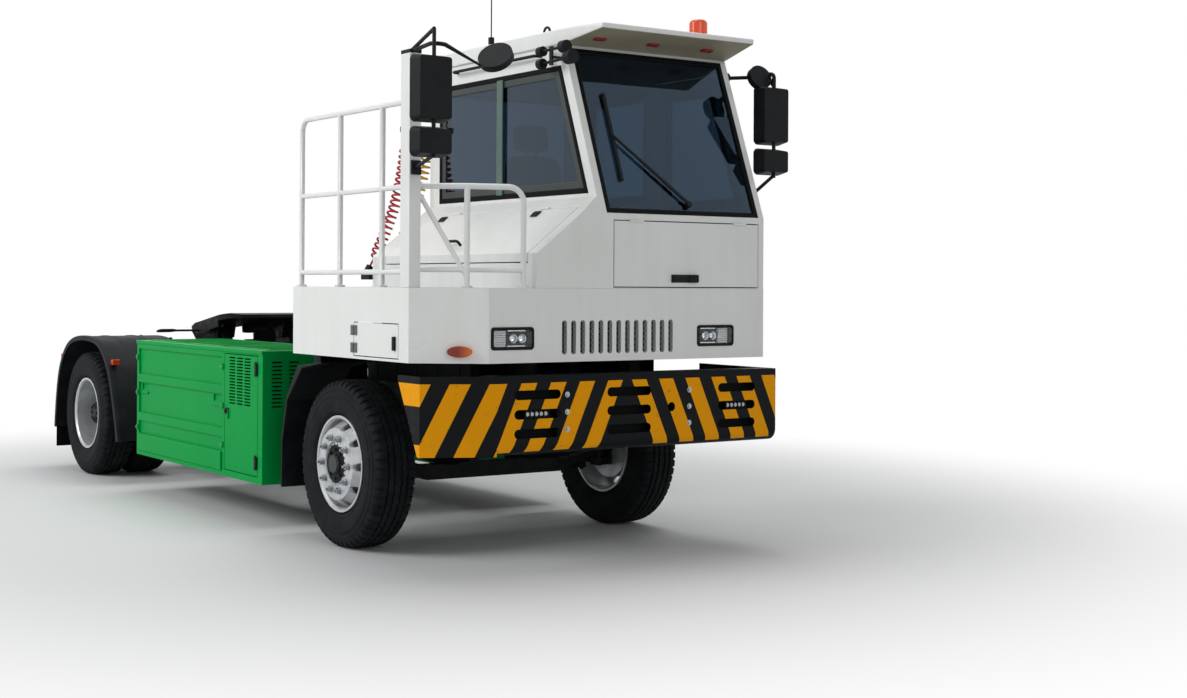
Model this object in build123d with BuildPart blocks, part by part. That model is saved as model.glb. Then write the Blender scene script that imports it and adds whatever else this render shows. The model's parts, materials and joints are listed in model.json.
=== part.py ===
from build123d import *
import os
from math import atan2, cos, pi, radians, sin, tan

os.makedirs("parts", exist_ok=True)

# Electric terminal tractor. Millimetres, +X forward, +Y to the vehicle's left, +Z up,
# origin on the ground at the middle of the overall box.

# Clearances
FIT = 0.3
RUN = 0.05
DOOR_GAP = 6

# Overall
WHEELBASE = 4520
FRONT_REACH = 1470
REAR_REACH = 5350
FRONT_AXLE_X = (REAR_REACH - FRONT_REACH) / 2
REAR_AXLE_X = FRONT_AXLE_X - WHEELBASE
REAR_END_X = FRONT_AXLE_X - REAR_REACH
BODY_HALF = 1250
MIRROR_HALF = 1410

# Wheels
TYRE_R = 522
TYRE_HALF = 149
RIM_SEAT_R = 290
RIM_FLANGE_R = 300
RIM_HALF = 127
RIM_INNER_R = 276
FRONT_WHEEL_Y = 1012
TWIN_Y = 900
TWIN_HALF_GAP = 168
DRUM_R = 205
SPINDLE_R = 45
REAR_SPINDLE_R = 50

# Ladder frame
RAIL_OUT_Y = 430
RAIL_TOP_Z = 1000
RAIL_DEPTH = 280
RAIL_FLANGE = 80
RAIL_PLATE = 9
FRAME_FRONT_X = FRONT_AXLE_X + 1240
RAIL_BOTTOM_Z = RAIL_TOP_Z - RAIL_DEPTH

# Platform, apron and bumper
DECK_Z = 1622
DECK_PLATE = 40
APRON_BOTTOM_Z = 1195
APRON_PLATE = 30
APRON_X = FRONT_AXLE_X + 1297
APRON_REAR_X = FRONT_AXLE_X - 426
CHAMFER_X = FRONT_AXLE_X + 1039
CHAMFER_Y = -877
CHAMFER_TURN = atan2(CHAMFER_Y + BODY_HALF, APRON_X - CHAMFER_X)
BUMPER_X = FRONT_AXLE_X + 1348
BUMPER_CHAMFER_X = FRONT_AXLE_X + 1166
BUMPER_CHAMFER_Y = -855
BUMPER_TOP_Z = 1124
BUMPER_BOTTOM_Z = 673
BUMPER_PLATE = 10
BUMPER_REAR_X = FRONT_AXLE_X + 919
STEP_REAR_X = FRONT_AXLE_X + 625

# Cab
CAB_WALL = 45
CAB_REAR_X = FRONT_AXLE_X - 650
CAB_LEFT_Y = 1190
CAB_RIGHT_Y = -100
CAB_BASE_Y = -550
CAB_FLOOR_Z = 1395
CAB_BOTTOM_Z = CAB_FLOOR_Z - CAB_WALL
SHOULDER_Z = 1825
SILL_Z = 2170
SCREEN_FOOT_Z = 2068
ROOF_Z = 3106
ROOF_TOP_Z = 3205
SCREEN_SETBACK = 378
LEAN = atan2(SCREEN_SETBACK, ROOF_Z - SCREEN_FOOT_Z)
SHOULDER_SLOPE = atan2(SILL_Z - SHOULDER_Z, CAB_RIGHT_Y - CAB_BASE_Y)
CAB_MID_Y = (CAB_LEFT_Y + CAB_RIGHT_Y) / 2
GLASS = 8

# Battery boxes
BOX_REAR_X = FRONT_AXLE_X - 3257
BOX_FRONT_X = FRONT_AXLE_X - 943
BOX_OUT_Y = 1220
BOX_IN_Y = 445
BOX_BOTTOM_Z = 291
BOX_TOP_Z = 1186
BOX_WALL = 30
BOX_DOOR_REAR_X = FRONT_AXLE_X - 1560
BOX_DOOR_FRONT_X = FRONT_AXLE_X - 1022

# Fifth wheel
COUPLING_X = REAR_AXLE_X + 820
COUPLING_TOP_Z = 1336
COUPLING_PIVOT_Z = COUPLING_TOP_Z - 120
PIVOT_R = 30
KINGPIN_BORE_R = 25.8
COUPLING_DROOP = 9

# Steering
KINGPIN_Y = 870
KINGPIN_R = 24
ARM_REACH = 190
ARM_TIP_Y = KINGPIN_Y
TIE_ROD_Z = 392

# Railing and post
TUBE_R = 17
RAIL_Y = -(BODY_HALF - 38)
SIDE_RAIL_TOP_Z = 2682
SIDE_RAIL_MID_Z = 2196
SIDE_RAIL_LOW_Z = 1711
FRONT_RAIL_TOP_Z = 2200
POST_TOP_Z = 2950
POST_WIDTH = 76
POST_REAR_X = FRONT_AXLE_X + 935

SIDES = (("right", -1), ("left", 1))


def side_plane(y):
    return Plane(origin=(0, y, 0), x_dir=(1, 0, 0), z_dir=(0, -1, 0))


def prism(plane, points, amount, mode=Mode.ADD):
    with BuildSketch(plane) as section:
        with BuildLine():
            Polyline(*points, close=True)
        make_face()
    extrude(section.sketch, amount=amount, mode=mode)


def bar(start, end, radius):
    run = Vector(*end) - Vector(*start)
    middle = (Vector(*end) + Vector(*start)) * 0.5
    with Locations(Plane(origin=middle, z_dir=run).location):
        Cylinder(radius, run.length)


def tube(points, radius, bend):
    with BuildLine() as path:
        FilletPolyline(*points, radius=bend)
    with BuildSketch(Plane(origin=path.line @ 0, z_dir=path.line % 0)) as ring:
        Circle(radius)
    sweep(ring.sketch, path=path.line)


def block(x0, x1, y0, y1, z0, z1, mode=Mode.ADD):
    with Locations(((x0 + x1) / 2, (y0 + y1) / 2, (z0 + z1) / 2)):
        Box(abs(x1 - x0), abs(y1 - y0), abs(z1 - z0), mode=mode)


def wheel_plane(x, y, side):
    return Plane(origin=(x, y, TYRE_R), x_dir=(0, side, 0), z_dir=(side, 0, 0))


def axle_line(x):
    return Axis((x, 0, TYRE_R), (0, 1, 0))


def turned(x, y, side, points):
    with BuildSketch(wheel_plane(x, y, side)) as section:
        with BuildLine():
            Polyline(*points, close=True)
        make_face()
    revolve(section.sketch, axis=axle_line(x))


def platform_plan(inset, rear_x, left_y):
    side_y = -BODY_HALF + inset
    front_x = APRON_X - inset
    corner_x = CHAMFER_X - inset * tan(CHAMFER_TURN / 2)
    corner_y = CHAMFER_Y + inset * tan((pi / 2 - CHAMFER_TURN) / 2)
    return [(rear_x, side_y), (corner_x, side_y), (front_x, corner_y), (front_x, left_y), (rear_x, left_y)]


def screen_plane(inset):
    foot = (APRON_X, 0, SCREEN_FOOT_Z)
    return Plane(origin=foot, x_dir=(0, 1, 0), z_dir=(cos(LEAN), 0, sin(LEAN))).offset(-inset)


def cab_section(inset, bottom, top):
    drop = inset * (1 / cos(SHOULDER_SLOPE) - tan(SHOULDER_SLOPE))
    return [
        (CAB_BASE_Y + inset, bottom),
        (CAB_BASE_Y + inset, SHOULDER_Z - drop),
        (CAB_RIGHT_Y + inset, SILL_Z - drop),
        (CAB_RIGHT_Y + inset, top),
        (CAB_LEFT_Y - inset, top),
        (CAB_LEFT_Y - inset, bottom),
    ]


def cab_block(section, rear_x, front_inset):
    with BuildPart() as cab:
        prism(Plane.YZ.offset(rear_x), section, APRON_X - front_inset - rear_x)
        split(bisect_by=screen_plane(front_inset), keep=Keep.BOTTOM)
    return cab.part


# Chassis

CROSSMEMBERS = (1150, 420, -800, -2560, -3100, -3750, -5280)

with BuildPart() as ladder_frame:
    for label, side in SIDES:
        web = side * (RAIL_OUT_Y - RAIL_PLATE)
        lip = side * (RAIL_OUT_Y - RAIL_FLANGE)
        out = side * RAIL_OUT_Y
        channel = [
            (out, RAIL_BOTTOM_Z),
            (out, RAIL_TOP_Z),
            (lip, RAIL_TOP_Z),
            (lip, RAIL_TOP_Z - RAIL_PLATE),
            (web, RAIL_TOP_Z - RAIL_PLATE),
            (web, RAIL_BOTTOM_Z + RAIL_PLATE),
            (lip, RAIL_BOTTOM_Z + RAIL_PLATE),
            (lip, RAIL_BOTTOM_Z),
        ]
        prism(Plane.YZ.offset(REAR_END_X + 20), channel, FRAME_FRONT_X - REAR_END_X - 20)
    for ahead in CROSSMEMBERS:
        x = FRONT_AXLE_X + ahead
        reach = RAIL_OUT_Y - RAIL_PLATE + 1
        block(x - 45, x + 45, -reach, reach, RAIL_BOTTOM_Z + 40, RAIL_TOP_Z - 40)
    block(REAR_END_X, REAR_END_X + 21, -950, 950, RAIL_BOTTOM_Z, RAIL_BOTTOM_Z + 190)
ladder_frame.part.label = "ladder_frame"
export_step(ladder_frame.part, "parts/ladder_frame.step")

SPRING_PAD_Z = 486
SPRING_Y = 388
SPRING_HALF_W = 40

with BuildPart() as front_axle_beam:
    beam = [
        (-KINGPIN_Y, TYRE_R - 55),
        (-KINGPIN_Y, TYRE_R + 55),
        (-KINGPIN_Y + 60, TYRE_R + 50),
        (-560, SPRING_PAD_Z),
        (560, SPRING_PAD_Z),
        (KINGPIN_Y - 60, TYRE_R + 50),
        (KINGPIN_Y, TYRE_R + 55),
        (KINGPIN_Y, TYRE_R - 55),
        (KINGPIN_Y - 60, TYRE_R - 50),
        (520, SPRING_PAD_Z - 100),
        (-520, SPRING_PAD_Z - 100),
        (-KINGPIN_Y + 60, TYRE_R - 50),
    ]
    prism(Plane.YZ.offset(FRONT_AXLE_X - 40), beam, 80)
    with Locations((FRONT_AXLE_X, KINGPIN_Y, TYRE_R), (FRONT_AXLE_X, -KINGPIN_Y, TYRE_R)):
        Cylinder(48, 110)
        Cylinder(KINGPIN_R + RUN, 200, mode=Mode.SUBTRACT)
front_axle_beam.part.label = "front_axle_beam"
export_step(front_axle_beam.part, "parts/front_axle_beam.step")

REAR_PAD_Z = 610

with BuildPart() as rear_axle:
    bar((REAR_AXLE_X, -TWIN_Y + 265, TYRE_R), (REAR_AXLE_X, TWIN_Y - 265, TYRE_R), 78)
    bar((REAR_AXLE_X, -TWIN_Y + 32, TYRE_R), (REAR_AXLE_X, TWIN_Y - 32, TYRE_R), REAR_SPINDLE_R)
    with Locations((REAR_AXLE_X, 0, TYRE_R)):
        Sphere(225)
    bar((REAR_AXLE_X, 0, TYRE_R), (REAR_AXLE_X + 330, 0, TYRE_R + 20), 95)
    for label, side in SIDES:
        y = side * SPRING_Y
        block(REAR_AXLE_X - 90, REAR_AXLE_X + 90, y - 55, y + 55, TYRE_R, REAR_PAD_Z)
rear_axle.part.label = "rear_axle"
export_step(rear_axle.part, "parts/rear_axle.step")

LEAF = 14
SPRINGS = (
    ("axle_x", "seat_z", "half_length", "rise", "leaves"),
    (FRONT_AXLE_X, SPRING_PAD_Z, 780, 120, 5),
    (REAR_AXLE_X, REAR_PAD_Z, 640, 20, 4),
)

with BuildPart() as leaf_springs:
    for axle_x, seat_z, half_length, rise, leaves in SPRINGS[1:]:
        for label, side in SIDES:
            for leaf in range(leaves):
                half = half_length * (leaf + 2) / (leaves + 1)
                lift = rise * (half / half_length) ** 2
                low = seat_z + FIT + leaf * LEAF
                plane = side_plane(side * SPRING_Y + SPRING_HALF_W)
                with BuildSketch(plane) as section:
                    with BuildLine():
                        ThreePointArc((axle_x - half, low + lift), (axle_x, low), (axle_x + half, low + lift))
                        Line((axle_x + half, low + lift), (axle_x + half, low + lift + LEAF + 1))
                        ThreePointArc(
                            (axle_x + half, low + lift + LEAF + 1),
                            (axle_x, low + LEAF + 1),
                            (axle_x - half, low + lift + LEAF + 1),
                        )
                        Line((axle_x - half, low + lift + LEAF + 1), (axle_x - half, low + lift))
                    make_face()
                extrude(section.sketch, amount=2 * SPRING_HALF_W)
            for end in (-1, 1):
                eye_x = axle_x + end * half_length
                eye_z = seat_z + FIT + (leaves - 1) * LEAF + rise
                y = side * SPRING_Y
                block(eye_x - 45, eye_x + 45, y - 40, y + 40, eye_z - 10, RAIL_BOTTOM_Z - FIT)
leaf_springs.part.label = "leaf_springs"
export_step(leaf_springs.part, "parts/leaf_springs.step")

MOTOR_X = FRONT_AXLE_X - 1450
MOTOR_Z = 790

with BuildPart() as drive_motor:
    bar((MOTOR_X - 320, 0, MOTOR_Z), (MOTOR_X + 320, 0, MOTOR_Z), 215)
    cradle_reach = RAIL_OUT_Y - RAIL_PLATE - FIT
    block(MOTOR_X - 150, MOTOR_X + 150, -cradle_reach, cradle_reach, 740, 840)
    bar((MOTOR_X - 300, 0, MOTOR_Z - 20), (REAR_AXLE_X + 336, 0, TYRE_R + 20), 50)
drive_motor.part.label = "drive_motor"
export_step(drive_motor.part, "parts/drive_motor.step")

MOUNT_BEAMS = (-376, 330, 960)

with BuildPart() as body_mounts:
    for ahead in MOUNT_BEAMS:
        x = FRONT_AXLE_X + ahead
        beam_y = (-BODY_HALF + APRON_PLATE + FIT + 50, CAB_LEFT_Y - CAB_WALL - FIT)
        block(x - 50, x + 50, *beam_y, 1215, CAB_BOTTOM_Z - FIT)
        for label, side in SIDES:
            y = side * (RAIL_OUT_Y - 40)
            block(x - 50, x + 50, y - 40, y + 40, RAIL_TOP_Z + FIT, 1216)
        block(x - 40, x + 40, -1000, -920, CAB_BOTTOM_Z - 1, DECK_Z - DECK_PLATE - FIT)
body_mounts.part.label = "body_mounts"
export_step(body_mounts.part, "parts/body_mounts.step")

# Bumper

SLOT_Z = (795, 905, 1015)
SLOT_HALF_H = 27
SLOT_GROUPS = (
    ("middle_y", "half_length"),
    (-575, 160),
    (85, 163),
    (925, 150),
)
TOW_HOLE_Y = 406
TOW_HOLE_Z = 912
TOW_HOLE_R = 28
BUMPER_ROLL = 70

with BuildPart() as front_bumper:
    inner_x = BUMPER_X - BUMPER_PLATE
    with BuildSketch(side_plane(BODY_HALF)) as section:
        with BuildLine():
            Polyline(
                (BUMPER_X - 120, BUMPER_TOP_Z - BUMPER_PLATE),
                (BUMPER_X - 120, BUMPER_TOP_Z),
                (BUMPER_X, BUMPER_TOP_Z),
                (BUMPER_X, BUMPER_BOTTOM_Z + BUMPER_ROLL),
            )
            RadiusArc(
                (BUMPER_X, BUMPER_BOTTOM_Z + BUMPER_ROLL),
                (BUMPER_X - BUMPER_ROLL, BUMPER_BOTTOM_Z),
                BUMPER_ROLL,
            )
            Polyline(
                (BUMPER_X - BUMPER_ROLL, BUMPER_BOTTOM_Z),
                (BUMPER_X - 120, BUMPER_BOTTOM_Z),
                (BUMPER_X - 120, BUMPER_BOTTOM_Z + BUMPER_PLATE),
                (BUMPER_X - BUMPER_ROLL, BUMPER_BOTTOM_Z + BUMPER_PLATE),
            )
            RadiusArc(
                (BUMPER_X - BUMPER_ROLL, BUMPER_BOTTOM_Z + BUMPER_PLATE),
                (inner_x, BUMPER_BOTTOM_Z + BUMPER_ROLL),
                -(BUMPER_ROLL - BUMPER_PLATE),
            )
            Polyline(
                (inner_x, BUMPER_BOTTOM_Z + BUMPER_ROLL),
                (inner_x, BUMPER_TOP_Z - BUMPER_PLATE),
                (BUMPER_X - 120, BUMPER_TOP_Z - BUMPER_PLATE),
            )
        make_face()
    extrude(section.sketch, amount=BODY_HALF - BUMPER_CHAMFER_Y)
    wing = [
        (BUMPER_X, BUMPER_CHAMFER_Y + 1),
        (BUMPER_X, BUMPER_CHAMFER_Y),
        (BUMPER_CHAMFER_X, -BODY_HALF),
        (BUMPER_REAR_X, -BODY_HALF),
        (BUMPER_REAR_X, -BODY_HALF + BUMPER_PLATE),
        (BUMPER_CHAMFER_X - 4, -BODY_HALF + BUMPER_PLATE),
        (BUMPER_X - BUMPER_PLATE, BUMPER_CHAMFER_Y + 1),
    ]
    prism(Plane.XY.offset(BUMPER_BOTTOM_Z), wing, BUMPER_TOP_Z - BUMPER_BOTTOM_Z)
    block(STEP_REAR_X, BUMPER_X - 100, BODY_HALF - BUMPER_PLATE, BODY_HALF, BUMPER_BOTTOM_Z, BUMPER_TOP_Z)
    slant = [
        (BUMPER_REAR_X - 1, BUMPER_TOP_Z - 20),
        (BUMPER_CHAMFER_X - 25, BUMPER_BOTTOM_Z - 1),
        (BUMPER_REAR_X - 1, BUMPER_BOTTOM_Z - 1),
    ]
    prism(side_plane(-BODY_HALF + BUMPER_PLATE + 1), slant, BUMPER_PLATE + 2, Mode.SUBTRACT)
    for middle_y, half_length in SLOT_GROUPS[1:]:
        with BuildSketch(Plane.YZ.offset(BUMPER_X - 60)) as slots:
            with Locations(*[(middle_y, z) for z in SLOT_Z]):
                SlotOverall(2 * half_length, 2 * SLOT_HALF_H)
        extrude(slots.sketch, amount=80, mode=Mode.SUBTRACT)
    for label, side in SIDES:
        y = side * (RAIL_OUT_Y - 40)
        block(FRAME_FRONT_X + FIT, inner_x + 1, y - 40, y + 40, RAIL_BOTTOM_Z + 30, RAIL_TOP_Z - 30)
    bar((inner_x + 1, TOW_HOLE_Y, TOW_HOLE_Z), (inner_x - 60, TOW_HOLE_Y, TOW_HOLE_Z), 60)
    with Locations(Plane(origin=(BUMPER_X, TOW_HOLE_Y, TOW_HOLE_Z), z_dir=(1, 0, 0)).location):
        Cylinder(TOW_HOLE_R, 400, mode=Mode.SUBTRACT)
    for step_z in (760, 950):
        step_x = (STEP_REAR_X + 60, BUMPER_X - 200)
        block(*step_x, BODY_HALF - 60, BODY_HALF + 5, step_z, step_z + 120, Mode.SUBTRACT)
        block(STEP_REAR_X + 10, BUMPER_X - 150, BODY_HALF - 210, BODY_HALF - 9, step_z - 22, step_z)
front_bumper.part.label = "front_bumper"
export_step(front_bumper.part, "parts/front_bumper.step")

# Apron, deck and the flap in the skirt

FLAP_REAR_X = FRONT_AXLE_X + 394
FLAP_FRONT_X = FRONT_AXLE_X + 920
FLAP_LOW_Z = 1216
FLAP_HIGH_Z = 1410
LAMP_HALF_W = 147
LAMP_HALF_H = 65
LAMP_Z = 1335
LAMP_YS = (-717, 793)
LAMP_DEPTH = 55
GRILLE_SLOTS = 13
GRILLE_PITCH = 66
GRILLE_MID_Y = 42
GRILLE_LOW_Z = 1238
GRILLE_HIGH_Z = 1436
GRILLE_SLOT_HALF = 18

with BuildPart() as front_apron:
    outline = platform_plan(0, APRON_REAR_X, CAB_LEFT_Y)
    prism(Plane.XY.offset(APRON_BOTTOM_Z), outline, DECK_Z - APRON_BOTTOM_Z)
    inner = platform_plan(APRON_PLATE, APRON_REAR_X - 1, CAB_LEFT_Y + 1)
    prism(Plane.XY.offset(APRON_BOTTOM_Z - 1), inner, DECK_Z - APRON_BOTTOM_Z + 2, Mode.SUBTRACT)
    block(
        FLAP_REAR_X - DOOR_GAP,
        FLAP_FRONT_X + DOOR_GAP,
        -BODY_HALF - 1,
        -BODY_HALF + APRON_PLATE + 1,
        FLAP_LOW_Z - DOOR_GAP,
        FLAP_HIGH_Z + DOOR_GAP,
        Mode.SUBTRACT,
    )
    with BuildSketch(Plane.YZ.offset(APRON_X - APRON_PLATE - 1)) as cuts:
        with Locations(*[(y, LAMP_Z) for y in LAMP_YS]):
            RectangleRounded(2 * (LAMP_HALF_W + FIT), 2 * (LAMP_HALF_H + FIT), 18)
        with Locations((GRILLE_MID_Y, (GRILLE_LOW_Z + GRILLE_HIGH_Z) / 2)):
            with GridLocations(GRILLE_PITCH, 1, GRILLE_SLOTS, 1):
                SlotOverall(GRILLE_HIGH_Z - GRILLE_LOW_Z, 2 * GRILLE_SLOT_HALF, rotation=90)
    extrude(cuts.sketch, amount=APRON_PLATE + 2, mode=Mode.SUBTRACT)
front_apron.part.label = "front_apron"
export_step(front_apron.part, "parts/front_apron.step")

with BuildPart() as skirt_flap:
    block(FLAP_REAR_X, FLAP_FRONT_X, -BODY_HALF, -BODY_HALF + APRON_PLATE, FLAP_LOW_Z, FLAP_HIGH_Z)
    for z in (FLAP_LOW_Z + 45, FLAP_HIGH_Z - 45):
        bar((FLAP_REAR_X, -BODY_HALF - 6, z - 25), (FLAP_REAR_X, -BODY_HALF - 6, z + 25), 8)
    block(FLAP_FRONT_X - 50, FLAP_FRONT_X - 25, -BODY_HALF - 14, -BODY_HALF + 1, 1260, 1340)
skirt_flap.part.label = "skirt_flap"
export_step(skirt_flap.part, "parts/skirt_flap.step")

with BuildPart() as platform_deck:
    plan = platform_plan(APRON_PLATE + FIT, APRON_REAR_X, CAB_BASE_Y - FIT)
    prism(Plane.XY.offset(DECK_Z - DECK_PLATE), plan, DECK_PLATE)
platform_deck.part.label = "platform_deck"
export_step(platform_deck.part, "parts/platform_deck.step")

# Railings and mirror post

UPRIGHTS_X = (-385, 136, 660)

with BuildPart() as side_railing:
    front_x = POST_REAR_X - FIT
    rear_x = FRONT_AXLE_X + UPRIGHTS_X[0]
    tube(
        [
            (rear_x, RAIL_Y, DECK_Z + FIT),
            (rear_x, RAIL_Y, SIDE_RAIL_TOP_Z),
            (front_x, RAIL_Y, SIDE_RAIL_TOP_Z),
        ],
        TUBE_R,
        80,
    )
    for ahead in UPRIGHTS_X[1:]:
        x = FRONT_AXLE_X + ahead
        bar((x, RAIL_Y, DECK_Z + FIT), (x, RAIL_Y, SIDE_RAIL_TOP_Z), TUBE_R)
    for z in (SIDE_RAIL_LOW_Z, SIDE_RAIL_MID_Z):
        bar((rear_x, RAIL_Y, z), (front_x, RAIL_Y, z), TUBE_R - 2)
side_railing.part.label = "side_railing"
export_step(side_railing.part, "parts/side_railing.step")

with BuildPart() as mirror_post:
    block(POST_REAR_X, CHAMFER_X, -BODY_HALF, -BODY_HALF + POST_WIDTH, DECK_Z + FIT, POST_TOP_Z)
mirror_post.part.label = "mirror_post"
export_step(mirror_post.part, "parts/mirror_post.step")

FRONT_RAIL_START = (CHAMFER_X - 40, -BODY_HALF + POST_WIDTH + FIT + 16)
FRONT_RAIL_MID = (FRONT_AXLE_X + 1160, -940)
FRONT_RAIL_END = (FRONT_AXLE_X + 1259, -620)
FRONT_RAIL_LOW_Z = 1725

with BuildPart() as front_railing:
    start = (*FRONT_RAIL_START, FRONT_RAIL_TOP_Z)
    bend = (*FRONT_RAIL_MID, FRONT_RAIL_TOP_Z)
    corner = (*FRONT_RAIL_END, FRONT_RAIL_TOP_Z)
    tube([start, bend, corner, (*FRONT_RAIL_END, DECK_Z + FIT)], TUBE_R, 90)
    bar((*FRONT_RAIL_MID, DECK_Z + FIT), bend, TUBE_R)
    bar((*FRONT_RAIL_START, FRONT_RAIL_LOW_Z), (*FRONT_RAIL_MID, FRONT_RAIL_LOW_Z), TUBE_R - 2)
    bar((*FRONT_RAIL_MID, FRONT_RAIL_LOW_Z), (*FRONT_RAIL_END, FRONT_RAIL_LOW_Z), TUBE_R - 2)
    bar((*FRONT_RAIL_START, FRONT_RAIL_TOP_Z - 50), (*FRONT_RAIL_MID, DECK_Z + 60), TUBE_R - 3)
front_railing.part.label = "front_railing"
export_step(front_railing.part, "parts/front_railing.step")

# Cab panels

HATCH_RIGHT_Y = 7
HATCH_LEFT_Y = 1141
HATCH_LOW_Z = 1634
HATCH_HIGH_Z = 2025
SCREEN_RIGHT_Y = -40
SCREEN_LEFT_Y = 1135
SCREEN_LENGTH = (ROOF_Z - SCREEN_FOOT_Z) / cos(LEAN)
SIDE_HATCH_REAR_X = FRONT_AXLE_X - 470
SIDE_HATCH_FRONT_X = FRONT_AXLE_X + 1195
SIDE_HATCH_LOW_Z = 1775
GRIP_X = FRONT_AXLE_X + 287
GRIP_Y = -474
GRIP_HALF = 60
GRIP_RISE = 36
GRIP_R = 9
SIDE_HATCH_TOP_Y = -190
SIDE_HATCH_TOP_Z = SILL_Z + (SIDE_HATCH_TOP_Y - CAB_RIGHT_Y) * tan(SHOULDER_SLOPE)
WINDOW_LOW_Z = 2200
WINDOW_HIGH_Z = 2970
WINDOW_REAR_X = FRONT_AXLE_X - 510
PILLAR = 85


def screen_x(z):
    return APRON_X - max(0, z - SCREEN_FOOT_Z) * tan(LEAN)


def side_window(inset, rear_x, front_x):
    low = WINDOW_LOW_Z + inset
    high = WINDOW_HIGH_Z - inset
    lean = inset / cos(LEAN)
    return [
        (rear_x + inset, low),
        (min(front_x, screen_x(low) - PILLAR) - lean, low),
        (min(front_x, screen_x(high) - PILLAR) - lean, high),
        (rear_x + inset, high),
    ]


def screen_face(inset):
    return [
        (SCREEN_RIGHT_Y + inset, 12 + inset),
        (SCREEN_LEFT_Y - inset, 12 + inset),
        (SCREEN_LEFT_Y - inset, SCREEN_LENGTH - 30 - inset),
        (SCREEN_RIGHT_Y + inset, SCREEN_LENGTH - 30 - inset),
    ]


def side_hatch_region(grow):
    across = Vector(sin(SHOULDER_SLOPE), -cos(SHOULDER_SLOPE))
    top = Vector(SIDE_HATCH_TOP_Y, SIDE_HATCH_TOP_Z) + Vector(cos(SHOULDER_SLOPE), sin(SHOULDER_SLOPE)) * grow
    outer = top - across * 5
    inner = top + across * 90
    low = SIDE_HATCH_LOW_Z - grow
    return [
        (outer.X, outer.Y),
        (inner.X, inner.Y),
        (CAB_BASE_Y + 75, low),
        (CAB_BASE_Y - 5, low),
        (CAB_BASE_Y - 5, SHOULDER_Z + 20),
    ]


with BuildPart() as cab_front:
    add(cab_block(cab_section(0, DECK_Z + FIT, ROOF_Z - FIT), CAB_REAR_X, 0))
    add(cab_block(cab_section(0, DECK_Z - 10, ROOF_Z + 10), CAB_REAR_X - 10, CAB_WALL), mode=Mode.SUBTRACT)
    prism(screen_plane(90), screen_face(0), 120, Mode.SUBTRACT)
    block(
        APRON_X - CAB_WALL - 5,
        APRON_X + 5,
        HATCH_RIGHT_Y - DOOR_GAP,
        HATCH_LEFT_Y + DOOR_GAP,
        HATCH_LOW_Z - DOOR_GAP,
        HATCH_HIGH_Z + DOOR_GAP,
        Mode.SUBTRACT,
    )
cab_front.part.label = "cab_front"
export_step(cab_front.part, "parts/cab_front.step")

with BuildPart() as front_hatch:
    block(APRON_X - CAB_WALL, APRON_X, HATCH_RIGHT_Y, HATCH_LEFT_Y, HATCH_LOW_Z, HATCH_HIGH_Z)
    inside_y = (HATCH_RIGHT_Y + 40, HATCH_LEFT_Y - 40)
    inside_z = (HATCH_LOW_Z + 40, HATCH_HIGH_Z - 40)
    block(APRON_X - CAB_WALL - 1, APRON_X - 12, *inside_y, *inside_z, Mode.SUBTRACT)
    for y in (HATCH_RIGHT_Y + 160, HATCH_LEFT_Y - 160):
        bar((APRON_X + 6, y - 50, HATCH_HIGH_Z), (APRON_X + 6, y + 50, HATCH_HIGH_Z), 8)
    block(APRON_X - 1, APRON_X + 18, 440, 640, HATCH_LOW_Z + 25, HATCH_LOW_Z + 75)
front_hatch.part.label = "front_hatch"
export_step(front_hatch.part, "parts/front_hatch.step")

WALL_REAR_X = CAB_REAR_X + CAB_WALL + FIT


def cab_walls(y0, y1):
    with BuildPart() as walls:
        add(cab_block(cab_section(0, CAB_BOTTOM_Z, ROOF_Z - FIT), WALL_REAR_X, CAB_WALL + FIT))
        inner = cab_section(CAB_WALL, CAB_BOTTOM_Z - 10, ROOF_Z + 10)
        add(cab_block(inner, WALL_REAR_X - 10, 0), mode=Mode.SUBTRACT)
        block(CAB_REAR_X - 100, APRON_X + 100, y0, y1, 0, 4000, Mode.INTERSECT)
    return walls.part


with BuildPart() as cab_right_side:
    add(cab_walls(-2000, 500))
    prism(side_plane(CAB_RIGHT_Y + 200), side_window(0, WINDOW_REAR_X, 9999), 250, Mode.SUBTRACT)
    prism(
        Plane.YZ.offset(SIDE_HATCH_REAR_X - DOOR_GAP),
        side_hatch_region(DOOR_GAP),
        SIDE_HATCH_FRONT_X - SIDE_HATCH_REAR_X + 2 * DOOR_GAP,
        Mode.SUBTRACT,
    )
cab_right_side.part.label = "cab_right_side"
export_step(cab_right_side.part, "parts/cab_right_side.step")

with BuildPart() as side_hatch:
    add(cab_walls(-2000, 500))
    prism(
        Plane.YZ.offset(SIDE_HATCH_REAR_X),
        side_hatch_region(0),
        SIDE_HATCH_FRONT_X - SIDE_HATCH_REAR_X,
        Mode.INTERSECT,
    )
    lift = Vector(0, -sin(SHOULDER_SLOPE), cos(SHOULDER_SLOPE)) * 6
    for x in (SIDE_HATCH_REAR_X + 330, SIDE_HATCH_FRONT_X - 330):
        pin = Vector(x, SIDE_HATCH_TOP_Y, SIDE_HATCH_TOP_Z) + lift
        bar((x - 45, pin.Y, pin.Z), (x + 45, pin.Y, pin.Z), 8)
    grip_z = SILL_Z + (GRIP_Y - CAB_RIGHT_Y) * tan(SHOULDER_SLOPE)
    away = Vector(0, -sin(SHOULDER_SLOPE), cos(SHOULDER_SLOPE))
    grip_ends = [Vector(GRIP_X + end * GRIP_HALF, GRIP_Y, grip_z) for end in (-1, 1)]
    tube(
        [
            grip_ends[0] - away * 2,
            grip_ends[0] + away * GRIP_RISE,
            grip_ends[1] + away * GRIP_RISE,
            grip_ends[1] - away * 2,
        ],
        GRIP_R,
        22,
    )
side_hatch.part.label = "side_hatch"
export_step(side_hatch.part, "parts/side_hatch.step")

DOOR_LOW_Z = 1310
DOOR_HIGH_Z = 3010
DOOR_REAR_X = FRONT_AXLE_X + 270
DOOR_HINGE_X = APRON_X - 130
QUARTER_FRONT_X = DOOR_REAR_X - 110


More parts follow.
